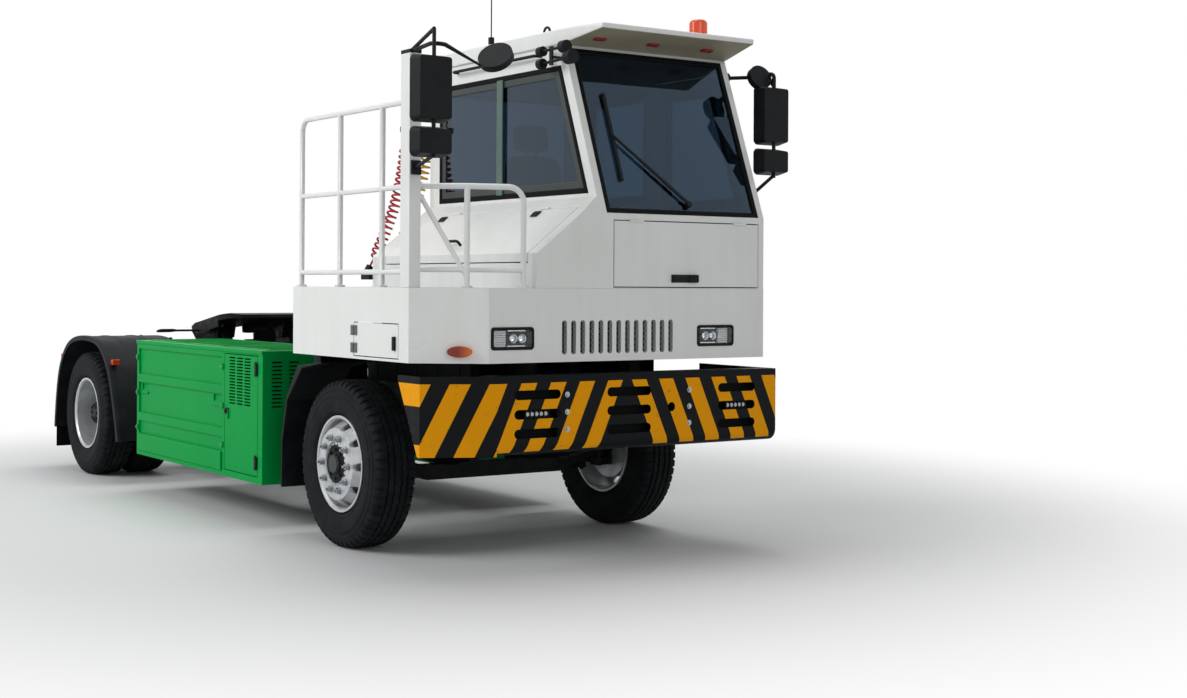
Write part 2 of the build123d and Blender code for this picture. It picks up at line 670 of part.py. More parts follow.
def door_outline(grow):
    high = DOOR_HIGH_Z + grow
    top_x = min(DOOR_HINGE_X, screen_x(high) - 70) + grow
    knee = SCREEN_FOOT_Z + (130 - 70) / tan(LEAN)
    return [
        (DOOR_REAR_X - grow, DOOR_LOW_Z - grow),
        (DOOR_HINGE_X + grow, DOOR_LOW_Z - grow),
        (DOOR_HINGE_X + grow, knee),
        (top_x, high),
        (DOOR_REAR_X - grow, high),
    ]


def door_window(inset):
    low = WINDOW_LOW_Z - 60 + inset
    high = WINDOW_HIGH_Z - 30 - inset
    return [
        (DOOR_REAR_X + 70 + inset, low),
        (DOOR_HINGE_X - 70 - inset, low),
        (DOOR_HINGE_X - 70 - inset, low + 70),
        (screen_x(high) - 150 - inset, high),
        (DOOR_REAR_X + 70 + inset, high),
    ]


with BuildPart() as cab_left_side:
    add(cab_walls(500, 2000))
    sill_x = (WALL_REAR_X, APRON_X - APRON_PLATE - FIT)
    block(*sill_x, CAB_LEFT_Y - CAB_WALL, CAB_LEFT_Y, APRON_BOTTOM_Z, CAB_BOTTOM_Z)
    prism(side_plane(CAB_LEFT_Y + 10), door_outline(DOOR_GAP), CAB_WALL + 20, Mode.SUBTRACT)
    quarter = side_window(0, WINDOW_REAR_X, QUARTER_FRONT_X)
    prism(side_plane(CAB_LEFT_Y + 10), quarter, CAB_WALL + 20, Mode.SUBTRACT)
    block(APRON_X - CAB_WALL - FIT, APRON_X, 1000, 1300, 0, DECK_Z + FIT, Mode.SUBTRACT)
cab_left_side.part.label = "cab_left_side"
export_step(cab_left_side.part, "parts/cab_left_side.step")

with BuildPart() as cab_door:
    prism(side_plane(CAB_LEFT_Y), door_outline(0), CAB_WALL)
    prism(side_plane(CAB_LEFT_Y + 1), door_window(0), CAB_WALL + 2, Mode.SUBTRACT)
    for z in (1450, 1900):
        bar((DOOR_HINGE_X, CAB_LEFT_Y + 7, z - 45), (DOOR_HINGE_X, CAB_LEFT_Y + 7, z + 45), 9)
    block(DOOR_REAR_X + 50, DOOR_REAR_X + 210, CAB_LEFT_Y - 1, CAB_LEFT_Y + 26, 1990, 2025)
cab_door.part.label = "cab_door"
export_step(cab_door.part, "parts/cab_door.step")

with BuildPart() as door_glass:
    prism(side_plane(CAB_LEFT_Y - 15), door_window(FIT), GLASS)
door_glass.part.label = "door_glass"
export_step(door_glass.part, "parts/door_glass.step")

REAR_WINDOW = (40, 1050, 2230, 2960)

with BuildPart() as cab_rear:
    prism(Plane.YZ.offset(CAB_REAR_X), cab_section(0, CAB_BOTTOM_Z, ROOF_Z - FIT), CAB_WALL)
    block(CAB_REAR_X - 5, CAB_REAR_X + CAB_WALL + 5, *REAR_WINDOW, Mode.SUBTRACT)
cab_rear.part.label = "cab_rear"
export_step(cab_rear.part, "parts/cab_rear.step")

with BuildPart() as cab_floor:
    floor_front_x = APRON_X - APRON_PLATE - 30
    floor_left_y = CAB_LEFT_Y - CAB_WALL - FIT
    floor_right_y = CAB_BASE_Y + CAB_WALL + FIT
    block(WALL_REAR_X, floor_front_x, floor_right_y, floor_left_y, CAB_BOTTOM_Z, CAB_FLOOR_Z)
    block(floor_front_x - 30, floor_front_x, floor_right_y, floor_left_y, CAB_FLOOR_Z - 1, DECK_Z)
cab_floor.part.label = "cab_floor"
export_step(cab_floor.part, "parts/cab_floor.step")

VISOR_X = FRONT_AXLE_X + 1250

with BuildPart() as cab_roof:
    profile = [
        (CAB_REAR_X - 20, ROOF_Z),
        (screen_x(ROOF_Z), ROOF_Z),
        (VISOR_X, ROOF_TOP_Z - 35),
        (VISOR_X, ROOF_TOP_Z),
        (CAB_REAR_X + 30, ROOF_TOP_Z),
        (CAB_REAR_X - 20, ROOF_Z + 50),
    ]
    prism(side_plane(CAB_LEFT_Y + 15), profile, CAB_LEFT_Y - CAB_RIGHT_Y + 30)
    plan = [
        (CAB_REAR_X - 21, CAB_RIGHT_Y - 15),
        (screen_x(ROOF_Z), CAB_RIGHT_Y - 15),
        (VISOR_X, CAB_RIGHT_Y + 45),
        (VISOR_X, CAB_LEFT_Y - 45),
        (screen_x(ROOF_Z), CAB_LEFT_Y + 15),
        (CAB_REAR_X - 21, CAB_LEFT_Y + 15),
    ]
    prism(Plane.XY.offset(ROOF_Z - 1), plan, 200, Mode.INTERSECT)
cab_roof.part.label = "cab_roof"
export_step(cab_roof.part, "parts/cab_roof.step")

# Glass

with BuildPart() as windscreen:
    prism(screen_plane(18), screen_face(FIT), GLASS)
windscreen.part.label = "windscreen"
export_step(windscreen.part, "parts/windscreen.step")

with BuildPart() as cab_glass:
    prism(side_plane(CAB_RIGHT_Y + 15), side_window(FIT, WINDOW_REAR_X, 9999), GLASS)
    prism(side_plane(CAB_LEFT_Y - 15), side_window(FIT, WINDOW_REAR_X, QUARTER_FRONT_X), GLASS)
    y0, y1, z0, z1 = REAR_WINDOW
    block(CAB_REAR_X + 15, CAB_REAR_X + 15 + GLASS, y0 + FIT, y1 - FIT, z0 + FIT, z1 - FIT)
cab_glass.part.label = "cab_glass"
export_step(cab_glass.part, "parts/cab_glass.step")

# Inside the cab

SEAT_X = FRONT_AXLE_X - 60

with BuildPart() as dashboard:
    dash_front_x = floor_front_x - 30 - FIT
    dash = [
        (dash_front_x, CAB_FLOOR_Z + FIT),
        (dash_front_x, 2020),
        (FRONT_AXLE_X + 930, 2060),
        (FRONT_AXLE_X + 850, 1960),
        (FRONT_AXLE_X + 960, 1700),
        (FRONT_AXLE_X + 1010, CAB_FLOOR_Z + FIT),
    ]
    prism(side_plane(CAB_LEFT_Y - CAB_WALL - 10), dash, CAB_LEFT_Y - CAB_RIGHT_Y - 2 * CAB_WALL - 20)
dashboard.part.label = "dashboard"
export_step(dashboard.part, "parts/dashboard.step")

with BuildPart() as driver_seat:
    block(SEAT_X - 180, SEAT_X + 180, CAB_MID_Y - 180, CAB_MID_Y + 180, CAB_FLOOR_Z + FIT, 1760)
    block(SEAT_X - 240, SEAT_X + 260, CAB_MID_Y - 250, CAB_MID_Y + 250, 1759, 1900)
    back = [(SEAT_X - 240, 1880), (SEAT_X - 120, 1880), (SEAT_X - 240, 2560), (SEAT_X - 340, 2560)]
    prism(side_plane(CAB_MID_Y + 240), back, 480)
    head = [(SEAT_X - 330, 2555), (SEAT_X - 240, 2555), (SEAT_X - 270, 2760), (SEAT_X - 350, 2760)]
    prism(side_plane(CAB_MID_Y + 140), head, 280)
driver_seat.part.label = "driver_seat"
export_step(driver_seat.part, "parts/driver_seat.step")

WHEEL_HUB = Vector(FRONT_AXLE_X + 610, CAB_MID_Y, 2090)
WHEEL_TILT = radians(62)

with BuildPart() as steering_wheel:
    tilt = Plane(origin=WHEEL_HUB, x_dir=(0, 1, 0), z_dir=(-cos(WHEEL_TILT), 0, sin(WHEEL_TILT)))
    with Locations(tilt.location):
        Torus(215, 15)
        Cylinder(55, 50)
    for spoke in (0, 120, 240):
        tip = WHEEL_HUB + tilt.x_dir * 212 * cos(radians(spoke)) + tilt.y_dir * 212 * sin(radians(spoke))
        bar((WHEEL_HUB.X, WHEEL_HUB.Y, WHEEL_HUB.Z), (tip.X, tip.Y, tip.Z), 11)
    foot = WHEEL_HUB - tilt.z_dir * 420
    bar((WHEEL_HUB.X, WHEEL_HUB.Y, WHEEL_HUB.Z), (foot.X, foot.Y, foot.Z), 30)
    bar((foot.X, foot.Y, foot.Z + 20), (foot.X, foot.Y, CAB_FLOOR_Z + FIT), 45)
steering_wheel.part.label = "steering_wheel"
export_step(steering_wheel.part, "parts/steering_wheel.step")

# Battery boxes

PANEL_REAR_X = BOX_REAR_X + 40
PANEL_FRONT_X = BOX_DOOR_REAR_X - 45
PANEL_RECESS = 14
PANEL_RECESSES = ((925, 1123), (625, 862), (461, 560))
HANDLE_INSET = 110
HANDLE_POCKET = (140, 75)
HANDLE_TOP_Z = 850
LOUVRE_YS = (1113, 985)
LOUVRES = 12
LOUVRE_PITCH = 27
LOUVRE_MID_Z = 960
LOUVRE_LENGTH = 78
LOUVRE_HEIGHT = 11
DOOR_SLOT_ROWS = 16
DOOR_SLOT_PITCH = (125, 21)
DOOR_SLOT = (100, 11)
DOOR_SLOT_MID_Z = 966
BOX_HINGE_ZS = (430, 1060)

with BuildPart() as battery_boxes:
    for label, side in SIDES:
        out = side * BOX_OUT_Y
        near = side * BOX_IN_Y
        block(BOX_REAR_X, BOX_FRONT_X, near, out, BOX_BOTTOM_Z, BOX_TOP_Z)
        block(
            BOX_REAR_X + BOX_WALL,
            BOX_FRONT_X - BOX_WALL,
            near + side * BOX_WALL,
            out - side * BOX_WALL,
            BOX_BOTTOM_Z + BOX_WALL,
            BOX_TOP_Z - BOX_WALL,
            Mode.SUBTRACT,
        )
        block(
            BOX_DOOR_REAR_X - DOOR_GAP,
            BOX_DOOR_FRONT_X + DOOR_GAP,
            out - side * (BOX_WALL + 1),
            out + side,
            BOX_BOTTOM_Z + 50 - DOOR_GAP,
            BOX_TOP_Z - 40 + DOOR_GAP,
            Mode.SUBTRACT,
        )
        for low_z, high_z in PANEL_RECESSES:
            recess_y = (out - side * PANEL_RECESS, out + side)
            block(PANEL_REAR_X, PANEL_FRONT_X, *recess_y, low_z, high_z, Mode.SUBTRACT)
        for handle_x in (PANEL_REAR_X + HANDLE_INSET, PANEL_FRONT_X - HANDLE_INSET):
            pocket_x = (handle_x - HANDLE_POCKET[0] / 2, handle_x + HANDLE_POCKET[0] / 2)
            pocket_z = (HANDLE_TOP_Z - HANDLE_POCKET[1], HANDLE_TOP_Z)
            block(*pocket_x, out - side * (BOX_WALL - 4), out, *pocket_z, Mode.SUBTRACT)
        for louvre_y in LOUVRE_YS:
            with BuildSketch(Plane.YZ.offset(BOX_FRONT_X - BOX_WALL - 1)) as louvres:
                with Locations((side * louvre_y, LOUVRE_MID_Z)):
                    with GridLocations(1, LOUVRE_PITCH, 1, LOUVRES):
                        SlotOverall(LOUVRE_LENGTH, LOUVRE_HEIGHT)
            extrude(louvres.sketch, amount=BOX_WALL + 2, mode=Mode.SUBTRACT)
        for x in (BOX_REAR_X + 500, BOX_FRONT_X - 500):
            block(x - 60, x + 60, side * (RAIL_OUT_Y + FIT), near + side, RAIL_BOTTOM_Z + 20, RAIL_TOP_Z - 20)
battery_boxes.part.label = "battery_boxes"
export_step(battery_boxes.part, "parts/battery_boxes.step")

with BuildPart() as battery_packs:
    for label, side in SIDES:
        block(
            BOX_REAR_X + BOX_WALL + 40,
            BOX_DOOR_REAR_X - 60,
            side * (BOX_IN_Y + BOX_WALL + 30),
            side * (BOX_OUT_Y - BOX_WALL - 30),
            BOX_BOTTOM_Z + BOX_WALL + FIT,
            BOX_TOP_Z - BOX_WALL - 60,
        )
battery_packs.part.label = "battery_packs"
export_step(battery_packs.part, "parts/battery_packs.step")

for label, side in SIDES:
    with BuildPart() as battery_door:
        out = side * BOX_OUT_Y
        door_z = (BOX_BOTTOM_Z + 50, BOX_TOP_Z - 40)
        block(BOX_DOOR_REAR_X, BOX_DOOR_FRONT_X, out - side * BOX_WALL, out, *door_z)
        for z in BOX_HINGE_ZS:
            bar((BOX_DOOR_FRONT_X, out + side * 7, z - 40), (BOX_DOOR_FRONT_X, out + side * 7, z + 40), 9)
        block(BOX_DOOR_REAR_X + 25, BOX_DOOR_REAR_X + 75, out - side, out + side * 12, 700, 760)
        with BuildSketch(side_plane(BOX_OUT_Y + 50)) as slots:
            with Locations(((BOX_DOOR_REAR_X + BOX_DOOR_FRONT_X) / 2 - 20, DOOR_SLOT_MID_Z)):
                with GridLocations(*DOOR_SLOT_PITCH, 3, DOOR_SLOT_ROWS):
                    SlotOverall(*DOOR_SLOT)
        if side > 0:
            extrude(slots.sketch, amount=100, mode=Mode.SUBTRACT)
        else:
            extrude(slots.sketch.moved(Location((0, -2 * BOX_OUT_Y, 0))), amount=100, mode=Mode.SUBTRACT)
    battery_door.part.label = f"battery_door_{label}"
    export_step(battery_door.part, f"parts/battery_door_{label}.step")

# Fenders

FENDER_OUT_Y = 1245
FENDER_IN_Y = 575
FENDER_PLATE = 12
FENDER_TOP_Z = 1180


def fender_outline(inset, low):
    return [
        (FRONT_AXLE_X - 3625 - inset, low),
        (FRONT_AXLE_X - 3770 - inset, 845),
        (FRONT_AXLE_X - 3990 - inset * 0.7, FENDER_TOP_Z - 90 - inset * 0.7),
        (FRONT_AXLE_X - 4200, FENDER_TOP_Z - inset),
        (FRONT_AXLE_X - 4720, FENDER_TOP_Z - inset),
        (FRONT_AXLE_X - 4990 + inset * 0.7, FENDER_TOP_Z - 120 - inset * 0.7),
        (FRONT_AXLE_X - 5180 + inset, 770),
        (FRONT_AXLE_X - 5225 + inset, low),
    ]


with BuildPart() as rear_fenders:
    for label, side in SIDES:
        start = FENDER_OUT_Y if side > 0 else -FENDER_IN_Y
        prism(side_plane(start), fender_outline(0, 355), FENDER_OUT_Y - FENDER_IN_Y)
        inner = fender_outline(FENDER_PLATE, 354)
        prism(side_plane(start + 1), inner, FENDER_OUT_Y - FENDER_IN_Y + 2, Mode.SUBTRACT)
        flap_x = FRONT_AXLE_X - 5225
        block(flap_x, flap_x + FENDER_PLATE, side * (FENDER_IN_Y + 20), side * (FENDER_OUT_Y - 20), 180, 357)
        for x in (FRONT_AXLE_X - 4150, FRONT_AXLE_X - 4850):
            web_y = side * (RAIL_OUT_Y + FIT)
            arm_z = (FENDER_TOP_Z - 100, FENDER_TOP_Z - 60)
            block(x - 25, x + 25, web_y, side * (FENDER_IN_Y + 5), *arm_z)
            block(x - 25, x + 25, web_y, side * (RAIL_OUT_Y + 40), RAIL_TOP_Z - 150, arm_z[1])
            lug_y = (side * (FENDER_IN_Y - 2), side * (FENDER_IN_Y + 10))
            block(x - 25, x + 25, *lug_y, arm_z[0], FENDER_TOP_Z - 10)
rear_fenders.part.label = "rear_fenders"
export_step(rear_fenders.part, "parts/rear_fenders.step")

with BuildPart() as front_fenders:
    guard = [
        (FRONT_AXLE_X - 130, 1150),
        (FRONT_AXLE_X - 130, 1140),
        (FRONT_AXLE_X - 400, 1098),
        (FRONT_AXLE_X - 610, 880),
        (FRONT_AXLE_X - 680, 600),
        (FRONT_AXLE_X - 684, 306),
        (FRONT_AXLE_X - 700, 306),
        (FRONT_AXLE_X - 698, 610),
        (FRONT_AXLE_X - 630, 895),
        (FRONT_AXLE_X - 470, 1110),
    ]
    for label, side in SIDES:
        prism(side_plane(1200 if side > 0 else -840), guard, 360)
        block(FRONT_AXLE_X - 430, FRONT_AXLE_X - 330, side * 1000, side * 1100, 1100, 1215 - FIT)
front_fenders.part.label = "front_fenders"
export_step(front_fenders.part, "parts/front_fenders.step")

# Wheels

TYRE_TABLE = (
    ("label", "axle_x", "middle_ys"),
    ("front", FRONT_AXLE_X, (FRONT_WHEEL_Y,)),
    ("rear", REAR_AXLE_X, (TWIN_Y - TWIN_HALF_GAP, TWIN_Y + TWIN_HALF_GAP)),
)
BEAD_R = RIM_SEAT_R + FIT

for place, axle_x, middle_ys in TYRE_TABLE[1:]:
    for label, side in SIDES:
        with BuildPart() as tyre:
            for middle_y in middle_ys:
                with BuildSketch(wheel_plane(axle_x, side * middle_y, side)) as section:
                    with BuildLine():
                        lip_r = RIM_FLANGE_R + 3
                        Polyline((-106, lip_r), (-104, BEAD_R), (104, BEAD_R), (106, lip_r))
                        ThreePointArc((106, RIM_FLANGE_R + 3), (TYRE_HALF, 398), (132, 497))
                        ThreePointArc((132, 497), (123, 514), (104, TYRE_R))
                        Line((104, TYRE_R), (-104, TYRE_R))
                        ThreePointArc((-104, TYRE_R), (-123, 514), (-132, 497))
                        ThreePointArc((-132, 497), (-TYRE_HALF, 398), (-106, RIM_FLANGE_R + 3))
                    make_face()
                revolve(section.sketch, axis=axle_line(axle_x))
        name = f"tyre_{place}_{label}" if place == "front" else f"tyres_{place}_{label}"
        tyre.part.label = name
        export_step(tyre.part, f"parts/{name}.step")

RIM_BARREL = [
    (-RIM_HALF, 286),
    (-RIM_HALF, RIM_FLANGE_R),
    (-RIM_HALF + 14, RIM_FLANGE_R),
    (-RIM_HALF + 14, RIM_SEAT_R),
    (RIM_HALF - 14, RIM_SEAT_R),
    (RIM_HALF - 14, RIM_FLANGE_R),
    (RIM_HALF, RIM_FLANGE_R),
    (RIM_HALF, 286),
    (RIM_HALF - 14, RIM_INNER_R),
    (-RIM_HALF + 14, RIM_INNER_R),
]
HAND_HOLES = 10
HAND_HOLE_PCD_R = 247
DISC_FACE = 150
HUB_BACK = -FRONT_WHEEL_Y + KINGPIN_Y + 86
HUB_FACE = 150
HUB_CAP = 172

for label, side in SIDES:
    with BuildPart() as wheel_front:
        turned(FRONT_AXLE_X, side * FRONT_WHEEL_Y, side, RIM_BARREL)
        disc = [(60, 278), (DISC_FACE, 222), (DISC_FACE, 140), (138, 140), (138, 214), (44, 278)]
        turned(FRONT_AXLE_X, side * FRONT_WHEEL_Y, side, disc)
        hub = [
            (HUB_BACK, SPINDLE_R + RUN),
            (HUB_BACK, DRUM_R),
            (139, DRUM_R),
            (139, 141),
            (HUB_FACE, 118),
            (HUB_FACE, 62),
            (HUB_CAP, 54),
            (HUB_CAP, 0),
            (86, 0),
            (86, SPINDLE_R + RUN),
        ]
        turned(FRONT_AXLE_X, side * FRONT_WHEEL_Y, side, hub)
        face = Plane(
            origin=(FRONT_AXLE_X, side * (FRONT_WHEEL_Y + DISC_FACE + 10), TYRE_R),
            x_dir=(1, 0, 0),
            z_dir=(0, -side, 0),
        )
        with BuildSketch(face) as holes:
            with PolarLocations(HAND_HOLE_PCD_R, HAND_HOLES):
                Circle(26)
        extrude(holes.sketch, amount=150, mode=Mode.SUBTRACT)
    wheel_front.part.label = f"rim_front_{label}"
    export_step(wheel_front.part, f"parts/rim_front_{label}.step")

    with BuildPart() as wheel_rear:
        for shift, way in ((TWIN_HALF_GAP, 1), (-TWIN_HALF_GAP, -1)):
            turned(REAR_AXLE_X, side * (TWIN_Y + shift), side, RIM_BARREL)
            disc = [(-60, 278), (-156, 222), (-156, 149), (-168, 149), (-168, 214), (-76, 278)]
            turned(REAR_AXLE_X, side * (TWIN_Y + shift), side, [(way * a, r) for a, r in disc])
        hub = [
            (-235, REAR_SPINDLE_R + RUN),
            (-235, DRUM_R),
            (-11.5, DRUM_R),
            (-11.5, 150),
            (20, 150),
            (70, 132),
            (70, 108),
            (130, 98),
            (130, 0),
            (-25, 0),
            (-25, REAR_SPINDLE_R + RUN),
        ]
        turned(REAR_AXLE_X, side * TWIN_Y, side, hub)
        face = Plane(
            origin=(REAR_AXLE_X, side * (TWIN_Y + 170), TYRE_R),
            x_dir=(1, 0, 0),
            z_dir=(0, -side, 0),
        )
        with BuildSketch(face) as holes:
            with PolarLocations(HAND_HOLE_PCD_R, HAND_HOLES):
                Circle(26)
        extrude(holes.sketch, amount=340, mode=Mode.SUBTRACT)
    wheel_rear.part.label = f"rims_rear_{label}"
    export_step(wheel_rear.part, f"parts/rims_rear_{label}.step")

# Steering

for label, side in SIDES:
    with BuildPart() as knuckle:
        pin_y = side * KINGPIN_Y
        with Locations((FRONT_AXLE_X, pin_y, TYRE_R)):
            Cylinder(KINGPIN_R, 240)
        for low, high in ((TYRE_R + 62, TYRE_R + 112), (TYRE_R - 112, TYRE_R - 62)):
            with Locations((FRONT_AXLE_X, pin_y, (low + high) / 2)):
                Cylinder(50, high - low)
            block(FRONT_AXLE_X - 45, FRONT_AXLE_X + 45, pin_y, pin_y + side * 70, low, high)
        carrier_y = (pin_y + side * 56, pin_y + side * 74)
        block(FRONT_AXLE_X - 55, FRONT_AXLE_X + 55, *carrier_y, TYRE_R - 112, TYRE_R + 112)
        spindle_end = (FRONT_AXLE_X, side * (FRONT_WHEEL_Y + 76), TYRE_R)
        bar((FRONT_AXLE_X, pin_y + side * 70, TYRE_R), spindle_end, SPINDLE_R)
        tip_x = FRONT_AXLE_X - ARM_REACH
        tip_y = side * ARM_TIP_Y
        bar((FRONT_AXLE_X - 30, pin_y, TYRE_R - 90), (tip_x, tip_y, TYRE_R - 90), 18)
        bar((tip_x, tip_y, TYRE_R - 65), (tip_x, tip_y, TIE_ROD_Z - 35), 14)
    knuckle.part.label = f"knuckle_{label}"
    export_step(knuckle.part, f"parts/knuckle_{label}.step")

with BuildPart() as tie_rod:
    tip_x = FRONT_AXLE_X - ARM_REACH
    bar((tip_x, -ARM_TIP_Y, TIE_ROD_Z), (tip_x, ARM_TIP_Y, TIE_ROD_Z), 20)
    with Locations((tip_x, -ARM_TIP_Y, TIE_ROD_Z), (tip_x, ARM_TIP_Y, TIE_ROD_Z)):
        Cylinder(30, 44)
        Cylinder(14 + RUN, 100, mode=Mode.SUBTRACT)
tie_rod.part.label = "tie_rod"
export_step(tie_rod.part, "parts/tie_rod.step")

# Fifth wheel

PEDESTAL_Y = 300

with BuildPart() as fifth_wheel_stand:
    block(COUPLING_X - 420, COUPLING_X + 420, -RAIL_OUT_Y, RAIL_OUT_Y, RAIL_TOP_Z + FIT, RAIL_TOP_Z + 22)
    stand = [
        (COUPLING_X - 260, RAIL_TOP_Z + 20),
        (COUPLING_X + 260, RAIL_TOP_Z + 20),
        (COUPLING_X + 70, COUPLING_PIVOT_Z + 20),
        (COUPLING_X + 40, COUPLING_PIVOT_Z + 55),
        (COUPLING_X - 40, COUPLING_PIVOT_Z + 55),
        (COUPLING_X - 70, COUPLING_PIVOT_Z + 20),
    ]
    for label, side in SIDES:
        prism(side_plane(side * PEDESTAL_Y + 40), stand, 80)
        y = side * PEDESTAL_Y
        bar((COUPLING_X, y - 85, COUPLING_PIVOT_Z), (COUPLING_X, y + 85, COUPLING_PIVOT_Z), PIVOT_R)
fifth_wheel_stand.part.label = "fifth_wheel_stand"
export_step(fifth_wheel_stand.part, "parts/fifth_wheel_stand.step")

PLATE_HALF_W = 450
PLATE_FRONT = 420
PLATE_REAR = -500
PLATE_THICK = 45
PLATE_CORNER_R = 170
TAIL_START = -300
TAIL_HALF_W = 330
RAMP_START = -230
RAMP_DROP = 70
SKIRT_DEPTH = 95
SKIRT_PLATE = 16
THROAT_HALF_W = 62
THROAT_MOUTH_HALF_W = 210
JAW_R = 110
JAW_DEPTH = 62
EAR_OUT = 80
EAR_IN = -50
EAR_PLATE = 30
HANDLE_R = 9
HANDLE_Z = COUPLING_TOP_Z - 70
HANDLE_REACH_Y = -800
HANDLE_HALF_LOOP = 45

with BuildPart() as level_plate:
    top = [
        (COUPLING_X + PLATE_FRONT, COUPLING_TOP_Z - PLATE_THICK),
        (COUPLING_X + PLATE_FRONT, COUPLING_TOP_Z - 18),
        (COUPLING_X + PLATE_FRONT - 40, COUPLING_TOP_Z),
        (COUPLING_X + RAMP_START, COUPLING_TOP_Z),
        (COUPLING_X + PLATE_REAR, COUPLING_TOP_Z - RAMP_DROP),
        (COUPLING_X + PLATE_REAR, COUPLING_TOP_Z - RAMP_DROP - PLATE_THICK),
        (COUPLING_X + RAMP_START, COUPLING_TOP_Z - PLATE_THICK),
    ]
    prism(side_plane(PLATE_HALF_W), top, 2 * PLATE_HALF_W)
    skirt = [
        (COUPLING_X + PLATE_FRONT - PLATE_CORNER_R, COUPLING_TOP_Z - PLATE_THICK + 1),
        (COUPLING_X + PLATE_FRONT - PLATE_CORNER_R, COUPLING_TOP_Z - SKIRT_DEPTH),
        (COUPLING_X + RAMP_START, COUPLING_TOP_Z - SKIRT_DEPTH),
        (COUPLING_X + RAMP_START, COUPLING_TOP_Z - PLATE_THICK + 1),
    ]
    for y in (PLATE_HALF_W, -PLATE_HALF_W + SKIRT_PLATE):
        prism(side_plane(y), skirt, SKIRT_PLATE)
    throat = [
        (COUPLING_X + PLATE_REAR - 1, -THROAT_MOUTH_HALF_W),
        (COUPLING_X - 120, -THROAT_HALF_W),
        (COUPLING_X, -THROAT_HALF_W),
        (COUPLING_X, THROAT_HALF_W),
        (COUPLING_X - 120, THROAT_HALF_W),
        (COUPLING_X + PLATE_REAR - 1, THROAT_MOUTH_HALF_W),
    ]
    with BuildSketch(Plane.XY.offset(COUPLING_TOP_Z - 200)) as outline:
        with BuildLine():
            Polyline(
                (COUPLING_X + PLATE_REAR, -TAIL_HALF_W),
                (COUPLING_X + TAIL_START, -PLATE_HALF_W),
                (COUPLING_X + PLATE_FRONT, -PLATE_HALF_W),
                (COUPLING_X + PLATE_FRONT, PLATE_HALF_W),
                (COUPLING_X + TAIL_START, PLATE_HALF_W),
                (COUPLING_X + PLATE_REAR, TAIL_HALF_W),
                close=True,
            )
        make_face()
        fillet(outline.vertices().sort_by(Axis.X)[-2:], PLATE_CORNER_R)
    extrude(outline.sketch, amount=300, mode=Mode.INTERSECT)
    prism(Plane.XY.offset(COUPLING_TOP_Z - 200), throat, 300, Mode.SUBTRACT)
    with Locations((COUPLING_X, 0, COUPLING_TOP_Z)):
        Cylinder(THROAT_HALF_W, 300, mode=Mode.SUBTRACT)
    with Locations((COUPLING_X, 0, COUPLING_TOP_Z - PLATE_THICK + 1 - JAW_DEPTH / 2)):
        Cylinder(JAW_R, JAW_DEPTH)
        Cylinder(KINGPIN_BORE_R, 200, mode=Mode.SUBTRACT)
    ear = [
        (COUPLING_X - 110, COUPLING_TOP_Z - PLATE_THICK + 1),
        (COUPLING_X + 110, COUPLING_TOP_Z - PLATE_THICK + 1),
        (COUPLING_X + 55, COUPLING_PIVOT_Z - 40),
        (COUPLING_X - 55, COUPLING_PIVOT_Z - 40),
    ]
    for label, side in SIDES:
        for y in (side * PEDESTAL_Y + EAR_OUT, side * PEDESTAL_Y + EAR_IN):
            prism(side_plane(y), ear, EAR_PLATE)
    for label, side in SIDES:
        y = side * PEDESTAL_Y
        with Locations(Plane(origin=(COUPLING_X, y, COUPLING_PIVOT_Z), z_dir=(0, 1, 0)).location):
            Cylinder(PIVOT_R + RUN, 200, mode=Mode.SUBTRACT)
    handle_x = COUPLING_X + RAMP_START + 60
    bar((handle_x, -PLATE_HALF_W + 1, HANDLE_Z), (handle_x, HANDLE_REACH_Y + 150, HANDLE_Z), HANDLE_R)
    for turn in (-1, 1):
        loop_x = handle_x + turn * HANDLE_HALF_LOOP
        tube(
            [
                (handle_x, HANDLE_REACH_Y + 155, HANDLE_Z),
                (loop_x, HANDLE_REACH_Y + 110, HANDLE_Z),
                (loop_x, HANDLE_REACH_Y, HANDLE_Z),
                (handle_x, HANDLE_REACH_Y, HANDLE_Z),
            ],
            HANDLE_R,
            20,
        )

with BuildPart() as fifth_wheel_plate:
    pivot_line = Axis((COUPLING_X, 0, COUPLING_PIVOT_Z), (0, 1, 0))
    add(level_plate.part.rotate(pivot_line, -COUPLING_DROOP))
fifth_wheel_plate.part.label = "fifth_wheel_plate"
export_step(fifth_wheel_plate.part, "parts/fifth_wheel_plate.step")

# Mirrors

RIGHT_MIRROR_X = FRONT_AXLE_X + 1350
LEFT_MIRROR_X = FRONT_AXLE_X + 1255
HEAD_WIDTH = 236
HEAD_DEPTH = 85
HEAD_BACK = 40
HEAD_TAPER = 11
HEAD_CORNER_R = 34
PANE_THICK = 4
PANE_MARGIN = 12
DISC_MIRROR_R = 100
DISC_DEPTH = 40
DISC_INBOARD = 402
LEFT_DISC_R = 80
LEFT_DISC_INBOARD = 62
ARM_R = 12
BRACE_R = 11
ARM_OFFSET = 20
ARM_RISE = 12
BRACE_APEX = 75
LOW_ARM_Z = 2345
RIGHT_FOOT_Z = 2300
LEFT_ARM_Z = 2994
LEFT_FOOT_Z = 2240
PAD_R = 34
FOOT_PAD_R = 22
PAD_THICK = 12
MIRROR_STALK_Y = MIRROR_HALF - HEAD_WIDTH / 2
MIRROR_HEADS = (
    ("x", "middle_y", "low_z", "high_z"),
    (RIGHT_MIRROR_X, -MIRROR_STALK_Y, 2527, 2900),
    (RIGHT_MIRROR_X, -MIRROR_STALK_Y, 2336, 2505),
    (LEFT_MIRROR_X, MIRROR_STALK_Y, 2541, 2915),
    (LEFT_MIRROR_X, MIRROR_STALK_Y, 2350, 2519),
)


